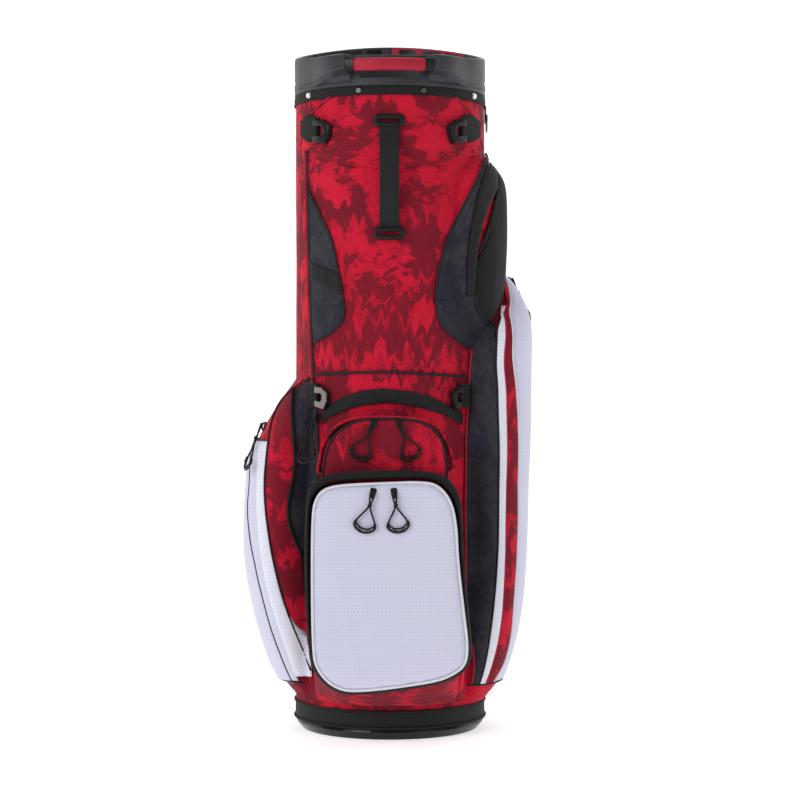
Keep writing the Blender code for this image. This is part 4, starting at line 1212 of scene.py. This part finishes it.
def rounded_box(left, right, low, high, corner, steps=4):
    """An outline with four round corners."""
    found = []
    for k, (x, z) in enumerate(((right, high), (left, high), (left, low), (right, low))):
        sx, sz = (-1 if k in (0, 3) else 1), (-1 if k in (0, 1) else 1)
        for i in range(steps):
            a = math.radians(90 * (k + i / (steps - 1)))
            found.append((x + sx * corner + corner * math.cos(a), z + sz * corner + corner * math.sin(a)))
    return found


print("plate helper ready")

# %% [markdown]
# The collar is a thick ring that flares into wings beside the front and rear grips, with a rolled rim that
# climbs to the back. A section is turned round the axis, and its outer radius swells at the wings. The finger
# windows behind the grips are cut afterwards with Boolean.

# %% Collar
COLLAR_R, COLLAR_IN = 0.1235, 0.1165
GRIP_TURN, WING_TURN, WING_OUT, GRIP_DROP = 22.5, 56.0, 0.018, 0.025
COLLAR_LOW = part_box("top_binding")[1].z + 0.0006
RIM_FRONT, RIM_REAR = 0.8545, 0.8995


def rim(y):
    share = y / COLLAR_R
    middle = (RIM_FRONT + RIM_REAR) / 2 - 0.0095
    return middle + (RIM_REAR - RIM_FRONT) / 2 * share + 0.0095 * share * share


def wing(angle):
    off = abs((angle + 180) % 360 - 180)
    off = min(off, 180 - off)
    if off > WING_TURN:
        return 0.0
    share = max(0.0, (off - GRIP_TURN) / (WING_TURN - GRIP_TURN))
    inner = 1 - min(1.0, max(0.0, (GRIP_TURN + 0.6 - off) / 0.9))
    return WING_OUT * (1 - share * share * (3 - 2 * share)) * inner


def collar_section(angle):
    top = rim(around(angle, COLLAR_R).y)
    w = wing(angle)
    out = COLLAR_R + w
    low = COLLAR_LOW
    flare_low = top - 0.0325 + 0.0135 * w / WING_OUT
    return [(COLLAR_IN + 0.001, low), (COLLAR_R - 0.0008, low), (COLLAR_R, low + 0.0008),
            (COLLAR_R, low + 0.0042), (COLLAR_R - 0.0012, low + 0.0050), (COLLAR_R - 0.0012, low + 0.0064),
            (COLLAR_R + 0.0002, low + 0.0074), (COLLAR_R + w * 0.12 + 0.0004, flare_low - 0.0052),
            (out - 0.0010, flare_low), (out, flare_low + 0.0014), (out - w * 0.10, top - 0.0042),
            (out - w * 0.12 - 0.0008, top - 0.0014), (out - w * 0.16 - 0.0026, top),
            (COLLAR_IN + 0.0022, top), (COLLAR_IN + 0.0006, top - 0.0008), (COLLAR_IN, top - 0.0028),
            (COLLAR_IN, low + 0.002)]


collar_turns = sorted(set([i * 2.5 for i in range(144)]
                          + [(m + s * (GRIP_TURN + d)) % 360 for m in (0, 180) for s in (-1, 1)
                             for d in (-0.4, 0.0, 0.5, 1.4)]))
points, maps = [], []
for angle in collar_turns:
    for r, z in collar_section(angle):
        points.append(around(angle, r, z))
        maps.append((math.radians(angle) * r, z))
faces = ring_faces(len(collar_turns), len(collar_section(0)), closed=True)
collar = outward(make_mesh("collar_ring", points, faces, maps, COLLAR))
WINDOW_HALF = 0.038
for y in (-COLLAR_R, COLLAR_R):
    top = rim(y)
    near, far = min(y * 0.8, y * 1.1), max(y * 0.8, y * 1.1)
    low, high = top - GRIP_DROP - 0.004, top - 0.013
    opening = [(-WINDOW_HALF, low), (WINDOW_HALF, low), (WINDOW_HALF, high), (-WINDOW_HALF, high)]
    cutter = plate("window_cutter", opening, far - near, 0.003, COLLAR, Matrix.Translation((0, far, 0)))
    cut = collar.modifiers.new("window", "BOOLEAN")
    cut.object = cutter
    bpy.context.view_layer.objects.active = collar
    bpy.ops.object.modifier_apply(modifier="window")
    bpy.data.objects.remove(cutter)
smooth_below(collar, 32)
finish_piece(collar, "frame", "charcoal_plastic", "collar")


def arc_bar(name, first, last, section, material, slot, steps=16, nodes=()):
    """A closed section (radius, height) swept between two angles, with its ends capped."""
    points, maps = [], []
    sides = len(section(first))
    for i in range(steps + 1):
        a = first + (last - first) * i / steps
        for r, z in section(a):
            points.append(around(a, r, z))
            maps.append((math.radians(a) * r, z))
    faces = ring_faces(steps + 1, sides)
    faces += [tuple(range(sides)), tuple(range(steps * sides, (steps + 1) * sides))[::-1]]
    obj = outward(make_mesh(name, points, faces, maps, material))
    smooth_below(obj, 40)
    return finish_piece(obj, "frame", slot, *nodes)


def rim_top(angle):
    return rim(around(angle, COLLAR_R).y)


def liner_section(angle):
    """A thin facing inside the rim."""
    top = rim_top(angle) - 0.0012
    return [(COLLAR_IN - 0.0014, top - 0.022), (COLLAR_IN + 0.0004, top - 0.022), (COLLAR_IN + 0.0004, top),
            (COLLAR_IN - 0.0008, top), (COLLAR_IN - 0.0014, top - 0.0008)]


def slot_shade_section(angle):
    """A black bar on that facing, painted shade for the opening of a slot."""
    top = rim_top(angle)
    return [(COLLAR_IN - 0.0021, top - 0.0135), (COLLAR_IN - 0.001, top - 0.0135),
            (COLLAR_IN - 0.001, top - 0.0035), (COLLAR_IN - 0.0021, top - 0.0035)]


for name, node, middle in (("front_grip_bar", "front_grip", 0), ("rear_grip_bar", "rear_grip", 180)):
    low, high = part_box(node)

    def grip_section(a):
        swell = 0.0012 * math.cos((a - middle) / 18 * math.pi / 2)
        return rounded_box(0.1297, 0.1408 + swell, low.z + 0.0008, high.z - 0.0006, 0.0042)

    def cap_section(a):
        return rounded_box(0.1292, 0.1420, low.z - 0.0006, high.z + 0.0004, 0.0030)

    arc_bar(name, middle - 19.4, middle + 19.4, grip_section, GRIP, "red_rubber", nodes=(node,))
    for side, first, last in (("left", middle - 23.0, middle - 18.6),
                              ("right", middle + 18.6, middle + 23.0)):
        arc_bar(name + "_cap_" + side, first, last, cap_section, BLACK, "black_plastic", steps=4)
arc_bar("collar_liner_red", 122, 179, liner_section, GRIP, "red_rubber", steps=24)
arc_bar("collar_liner_grey", 181, 238, liner_section, COLLAR, "charcoal_plastic", steps=24)
# Black bars inside the rim: painted shade where the slots open.
for number, (first, last) in enumerate(((128, 140), (145, 158), (163, 174), (186, 196), (200, 214),
                                        (220, 232)), 1):
    arc_bar("collar_slot_%d" % number, first, last, slot_shade_section, BLACK, "black_plastic", steps=6)
print("collar made")

# %% [markdown]
# The carry handle is a strap of webbing that bows away from the tube between two moulded frames, which are
# rounded loops with a slot for the strap.

# %% Carry handle
HANDLE_LOW, HANDLE_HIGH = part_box("spine_handle")
strap_half = HANDLE_HIGH.x


def bow(share):
    """How far the strap stands off at a share of its length. Its two ends lie flat."""
    return math.sin(math.pi * min(max((share - 0.1) / 0.8, 0.0), 1.0))


def handle_height(share, margin):
    return HANDLE_LOW.z + margin + (HANDLE_HIGH.z - HANDLE_LOW.z - 2 * margin) * share


rows, columns = 48, 8
points, maps = [], []
for i in range(rows + 1):
    share = i / rows
    for k in range(columns + 1):
        across = -1 + 2 * k / columns
        points.append(Vector((strap_half * across * (1 - 0.05 * bow(share)),
                              HANDLE_HIGH.y - 0.0046 - 0.0140 * bow(share) + 0.0005 * across * across,
                              handle_height(share, 0.002))))
        maps.append((strap_half * across, points[-1].z))
handle = make_mesh("handle_strap", points, sheet_faces(rows, columns), maps, WEBBING)
thicken(handle, 0.0021)
finish_piece(handle, "frame", "black_webbing", "spine_handle")
handle_edges = [[Vector((side * (strap_half - 0.002), HANDLE_HIGH.y - 0.0070 - 0.0140 * bow(i / 40),
                         handle_height(i / 40, 0.004))) for i in range(41)] for side in (-1, 1)]
stitched("handle_stitches", handle_edges, CORD, "black_webbing", pitch=0.0036)
LOOP_R = 0.0034
for node in ("handle_frame_upper", "handle_frame_lower"):
    low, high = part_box(node)
    middle, half = (low + high) / 2, (high - low) / 2
    outline = rounded_box(LOOP_R - half.x, half.x - LOOP_R, LOOP_R - half.z, half.z - LOOP_R, 0.0042, steps=6)
    line = [Vector((middle.x + x, middle.y - 0.0032, middle.z + z)) for x, z in outline]
    loop = tube_along(node + "_loop", line, LOOP_R, BLACK, sides=10, closed=True, flat=0.85,
                      up=Vector((0, -1, 0)))
    finish_piece(loop, "frame", "black_plastic", node)
print("carry handle made")

# %% [markdown]
# The strap clips are six-sided plates with a slot for the strap. Each has a raised face, and a folded tongue
# of webbing covers its outer bar.

# %% Strap clips
CLIP_TURN = 42.0


def clip_outline(w, t, sign):
    """A six-sided plate with a slot that opens to the outer side."""
    shape = [(-0.36, -0.08), (0.12, -0.12), (0.5, -0.33), (0.5, -0.64), (0.27, -0.94), (-0.36, -0.84),
             (-0.36, -0.62), (0.05, -0.67), (0.18, -0.58), (0.18, -0.41), (0.06, -0.33), (-0.36, -0.33)]
    shape = [(-sign * x * w, z * t) for x, z in shape]
    return shape if sign > 0 else shape[::-1]


for row, top, scale_x, scale_z in (("upper", 0.781, 1.0, 1.0), ("lower", 0.445, 0.72, 0.9)):
    for side, sign in (("left", -1), ("right", 1)):
        node = "clip_%s_%s" % (row, side)
        turn = Matrix.Rotation(math.radians(sign * CLIP_TURN), 4, "Z")
        place = Matrix.Translation(around(sign * CLIP_TURN, TUBE_R, top)) @ turn
        w, t = 0.034 * scale_x, 0.038 * scale_z
        colour = GREY if node == "clip_lower_left" else BLACK
        outline = [Vector(p) for p in clip_outline(w, t, sign)]
        base = plate(node + "_plate", outline, 0.0042, 0.0008, BLACK,
                     place @ Matrix.Translation((0, -0.0046, 0)))
        middle = sum(outline, Vector((0, 0))) / len(outline)
        inner = [middle + (p - middle) * 0.96 for p in outline]
        raised = plate(node + "_face", inner, 0.0026, 0.0010, colour,
                       place @ Matrix.Translation((0, -0.0086, 0)))
        finish_piece(joined(node + "_hook", [base, raised]), node, "black_plastic", node)
TONGUES = {
    "upper_left": [(-0.1045, 0.777), (-0.0960, 0.785), (-0.0850, 0.7790), (-0.0850, 0.7560),
                   (-0.0965, 0.7500),
                   (-0.1045, 0.7590)],
    "upper_right": [(0.0850, 0.7790), (0.0960, 0.785), (0.1065, 0.777), (0.1065, 0.7590), (0.0975, 0.7500),
                    (0.0850, 0.7560)],
    "lower_left": [(-0.0965, 0.444), (-0.0870, 0.446), (-0.0870, 0.4180), (-0.0965, 0.4140)],
    "lower_right": [(0.0850, 0.446), (0.0960, 0.444), (0.0960, 0.4140), (0.0850, 0.4180)]}
for name, outline in TONGUES.items():
    high = 0.0098 if name.startswith("upper") else 0.0060
    sewn_panel("tongue_" + name, outline, WEBBING, "black_webbing", lift=high, wall=high - 0.001, grid=0.002,
               front=True)
print("clips made")

# %% [markdown]
# Each zip has a slider with a bridge, and a pull made of a thin cord that doubles back through a knot and
# ends in a moulded crescent. The crescent is an open truss: an outer bar, an inner bar and struts between.

# %% Zip sliders and pulls
CORD_R = 0.0012
STRAND = [(0.0, -0.012), (0.10, 0.00), (0.16, 0.08), (0.14, 0.18), (0.05, 0.29), (0.05, 0.35), (0.20, 0.44),
          (0.52, 0.58), (0.80, 0.70), (0.92, 0.80)]
OUTER_BAR = [(-0.98, 0.80), (-0.94, 0.885), (-0.62, 0.965), (-0.22, 1.0), (0.22, 1.0), (0.62, 0.965),
             (0.94, 0.885), (0.98, 0.80)]
INNER_BAR = [(-0.80, 0.815), (-0.52, 0.880), (-0.18, 0.910), (0.18, 0.910), (0.52, 0.880), (0.80, 0.815)]
STRUTS = [OUTER_BAR[2], INNER_BAR[1], OUTER_BAR[3], INNER_BAR[2], INNER_BAR[3], OUTER_BAR[4], INNER_BAR[4],
          OUTER_BAR[5]]
KNOT = [(-0.10, 0.30, 0.001), (0.06, 0.29, 0.0022), (0.14, 0.325, 0.0004), (-0.02, 0.345, -0.0006),
        (-0.14, 0.335, 0.0012), (-0.02, 0.315, 0.0026), (0.10, 0.345, 0.0012)]
BRIDGE = [(-0.0045, 0.0018), (-0.0035, 0.0036), (-0.0010, 0.0044), (0.0025, 0.0042), (0.0045, 0.0030),
          (0.0050, 0.0018)]
SHIELD = [(-0.0040, 0.0050), (-0.0026, 0.0065), (0.0026, 0.0065), (0.0040, 0.0050), (0.0036, -0.0040),
          (0.0022, -0.0065), (-0.0022, -0.0065), (-0.0036, -0.0040)]


def smooth_path(points, count=4):
    """More points along a line, on a curve that passes through the given ones."""
    rows = through([(i, *p) for i, p in enumerate(points)])
    total = (len(points) - 1) * count
    return [Vector(rows(i / count)) for i in range(total + 1)]


def zip_set(name, head, hang, face, width=0.028):
    head, hang, face = Vector(head), Vector(hang), Vector(face).normalized()
    down = hang.normalized()
    side = face.cross(down).normalized()
    turn = Matrix((side, -face, -down)).transposed()
    if turn.determinant() < 0:
        turn = Matrix((-side, -face, -down)).transposed()
    place = Matrix.Translation(head) @ turn.to_4x4()
    lower = plate("slider_plate", SHIELD, 0.0018, 0.0005, BLACK, place @ Matrix.Translation((0, -0.0002, 0)))
    bridge = [head + face * h - down * d for d, h in BRIDGE]
    loop = tube_along("slider_bridge", smooth_path(bridge, 3), 0.0012, BLACK, sides=7, flat=0.8)
    finish_piece(joined("slider_body_" + name, [lower, loop]), "slider_" + name, "black_plastic",
                 "slider_" + name)
    start = head + face * (0.0045 + 0.0017) - down * 0.0013
    length, half = hang.length, width / 2

    def spot(x, d, out=0.0):
        return start + side * (x * half) + down * (d * length) + face * out

    parts = []
    for sign in (-1, 1):
        strand = [spot(sign * x, d, 0.0006 * sign * math.sin(3 * d)) for x, d in STRAND]
        block = [spot(sign * x, d) for x, d in ((0.88, 0.74), (0.94, 0.80), (0.96, 0.86))]
        parts.append(tube_along("strand", smooth_path(strand), CORD_R, CORD, sides=7))
        parts.append(tube_along("end_block", block, lambda t: 0.0017 + 0.0006 * t, BLACK))
    parts.append(tube_along("knot", smooth_path([spot(*p) for p in KNOT]), 0.0011, CORD, sides=7))
    outer_bar = smooth_path([spot(*p) for p in OUTER_BAR], 2)
    parts.append(tube_along("outer_bar", outer_bar, 0.0013, BLACK, flat=1.2))
    parts.append(tube_along("inner_bar", smooth_path([spot(*p) for p in INNER_BAR], 2), 0.0010, BLACK))
    parts.append(tube_along("struts", [spot(*p) for p in STRUTS], 0.0008, BLACK, sides=6))
    finish_piece(joined("zip_pull_" + name, parts), "pull_" + name, "black_rubber", "pull_" + name)


DOOR_FACE = DOOR_LOW.y - 0.0005
for name, x, lean in (("ball_left", -0.020, -0.012), ("ball_right", 0.006, 0.006)):
    zip_set(name, (x, DOOR_FACE, DOOR_HIGH.z - 0.009), (lean, 0, -0.048), (0, -1, 0), 0.026)
for name, x, lean in (("accessory_left", -0.020, -0.020), ("accessory_right", 0.012, 0.018)):
    zip_set(name, (x, ACC_FRONT - 0.0008, ACC_HIGH.z - 0.008), (lean, 0, -0.044), (0, -1, 0), 0.026)
LEAN_BACK = 0.45     # how much the side pockets' tops face up
zip_set("left_pocket", around(-72, 0.1672, 0.390), (-0.020, -0.002, -0.058), around(-72, 1.0, LEAN_BACK))
zip_set("slash_pocket", around(-46, TUBE_R + 0.004, 0.402), (-0.012, -0.026, -0.056), around(-40, 1.0))
zip_set("right_pocket", around(112, 0.1700, 0.580), (0.022, -0.004, -0.058), around(104, 1.0, LEAN_BACK))
print("zip pulls made")

# %% [markdown]
# The rest of the trims: the tab that holds the towel ring, cords round the white side panels, the two long
# seams behind, and the cloth walls inside the tube. The walls are remeshed copies of the frame's.

# %% Trims
sewn_panel("ring_tab_loop", [(85.6, 0.7835), (94.4, 0.7835), (94.4, 0.8035), (85.6, 0.8035)], WEBBING,
           "black_webbing", lift=0.0022, wall=0.0018, grid=0.002, nodes=("ring_tab",))
edge_cord("right_rear_piping", STRIPES[4], 0.064, 0.588, 0.0013, PIPING, "black_webbing")
edge_cord("left_rear_piping", left_back, 0.068, 0.372, 0.0013, PIPING, "black_webbing")
for name, first, last, height in (("right_top_piping", STRIPES[3](0.588)[0], STRIPES[4](0.588)[0], 0.588),
                                  ("left_top_piping", left_back(0.372)[0], arc_edge(0.372)[0], 0.3725),
                                  ("left_hem_piping", left_back(0.066)[0], -58, 0.0655),
                                  ("right_hem_piping", 52, STRIPES[4](0.064)[0], 0.0635)):
    line = [on_skin(first + (last - first) * i / 48, height, 0.0022) for i in range(49)]
    cord(name, line, 0.0014, PIPING)
for name, turn in (("rear_seam_left", -150), ("rear_seam_right", 150)):
    line = [on_skin(turn, 0.05 + 0.0075 * i, 0.0008) for i in range(101)]
    cord(name, line, 0.0012, PIPING)
wall_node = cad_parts["divider_panels"]
walls = bpy.data.objects.new("divider_walls", wall_node.data.copy())
walls.data.transform(wall_node.matrix_world)
bpy.context.scene.collection.objects.link(walls)
bpy.context.view_layer.objects.active = walls
remesh = walls.modifiers.new("cloth", "REMESH")
remesh.mode, remesh.voxel_size = "VOXEL", 0.0045
bpy.ops.object.modifier_apply(modifier="cloth")
print("trims made, divider triangles", len(walls.data.polygons))

# %% [markdown]
# What is left of the frame keeps its own shape and gets a real finish. Moulded and metal parts read Object
# coordinates, which need no UV map, so the finishes go straight into the nodes' material slots.

# %% Finishes of the carried-over nodes
def inner_cloth():
    paint = Paint("divider_cloth", roughness=0.85, sheen=0.1)
    x, y, z = paint.place()
    weave = wave(x + y, 0.0016) * wave(z, 0.0016)
    paint.set("Base Color", paint.mix(weave, (0.010, 0.010, 0.013), (0.026, 0.026, 0.032)))
    paint.bump(weave, 0.4, 0.0003)
    return paint.material


INNER = inner_cloth()
DRESS = {"base_cup": BASE, "kick_plate": BLACK, "kick_plate_pin": STEEL, "leg_bracket": BLACK,
         "leg_bumper": RUBBER,
         "wire_guide": BLACK, "actuator_wire": STEEL, "towel_ring": STEEL, "top_divider": BLACK}
for name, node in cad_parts.items():
    for start, material in (("leg_foot", RUBBER), ("leg_head", BLACK), ("leg_pin", STEEL),
                            ("leg_tube", ALUMINIUM),
                            ("stay_rod", ALUMINIUM), ("rivet", STEEL)):
        if name.startswith(start):
            DRESS[name] = material
DARK_STEEL = brushed("dark_steel", (0.10, 0.10, 0.105), 0.34)
DRESS["rivet_2"] = DRESS["rivet_3"] = DARK_STEEL
for name, material in DRESS.items():
    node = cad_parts[name]
    node.data.materials.clear()
    node.data.materials.append(material)
walls.data.materials.clear()
walls.data.materials.append(INNER)
finish_piece(walls, "frame", "dark_fabric", "divider_panels")
shown = [name for name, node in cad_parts.items() if not node.hide_render]
print("carried-over nodes", len(shown), "without a finish:", sorted(set(shown) - set(DRESS)))

# %% [markdown]
# The floor is a fine grid that curves up behind the bag into a wall. It is staged, so it stays out of the
# model. The last step prints the box of the finished model.

# %% Floor
PAPER_HALF = 9.0
bpy.ops.mesh.primitive_grid_add(x_subdivisions=2, y_subdivisions=60, size=2 * PAPER_HALF)
floor = bpy.context.object
floor.name = "floor"
SWEEP_START, SWEEP_R = 3.0, 1.6
for vertex in floor.data.vertices:
    past = vertex.co.y - SWEEP_START
    if past > 0:
        turn = min(past / SWEEP_R, math.pi / 2)
        vertex.co.z = SWEEP_R * (1 - math.cos(turn)) + max(0.0, past - SWEEP_R * math.pi / 2)
        vertex.co.y = SWEEP_START + SWEEP_R * math.sin(turn)
floor.data.shade_smooth()
paint = Paint("floor_paper", roughness=0.95, specular=0.0)
paint.shader.inputs["Base Color"].default_value = (0.9, 0.9, 0.9, 1)
paint.shader.inputs["Emission Color"].default_value = (1, 1, 1, 1)
paint.shader.inputs["Emission Strength"].default_value = 0.56
floor.data.materials.append(paint.material)
floor.select_set(False)
floor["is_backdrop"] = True

visual_box = [list(corner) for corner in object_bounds()]
print("visual box", [[round(v, 3) for v in corner] for corner in visual_box])
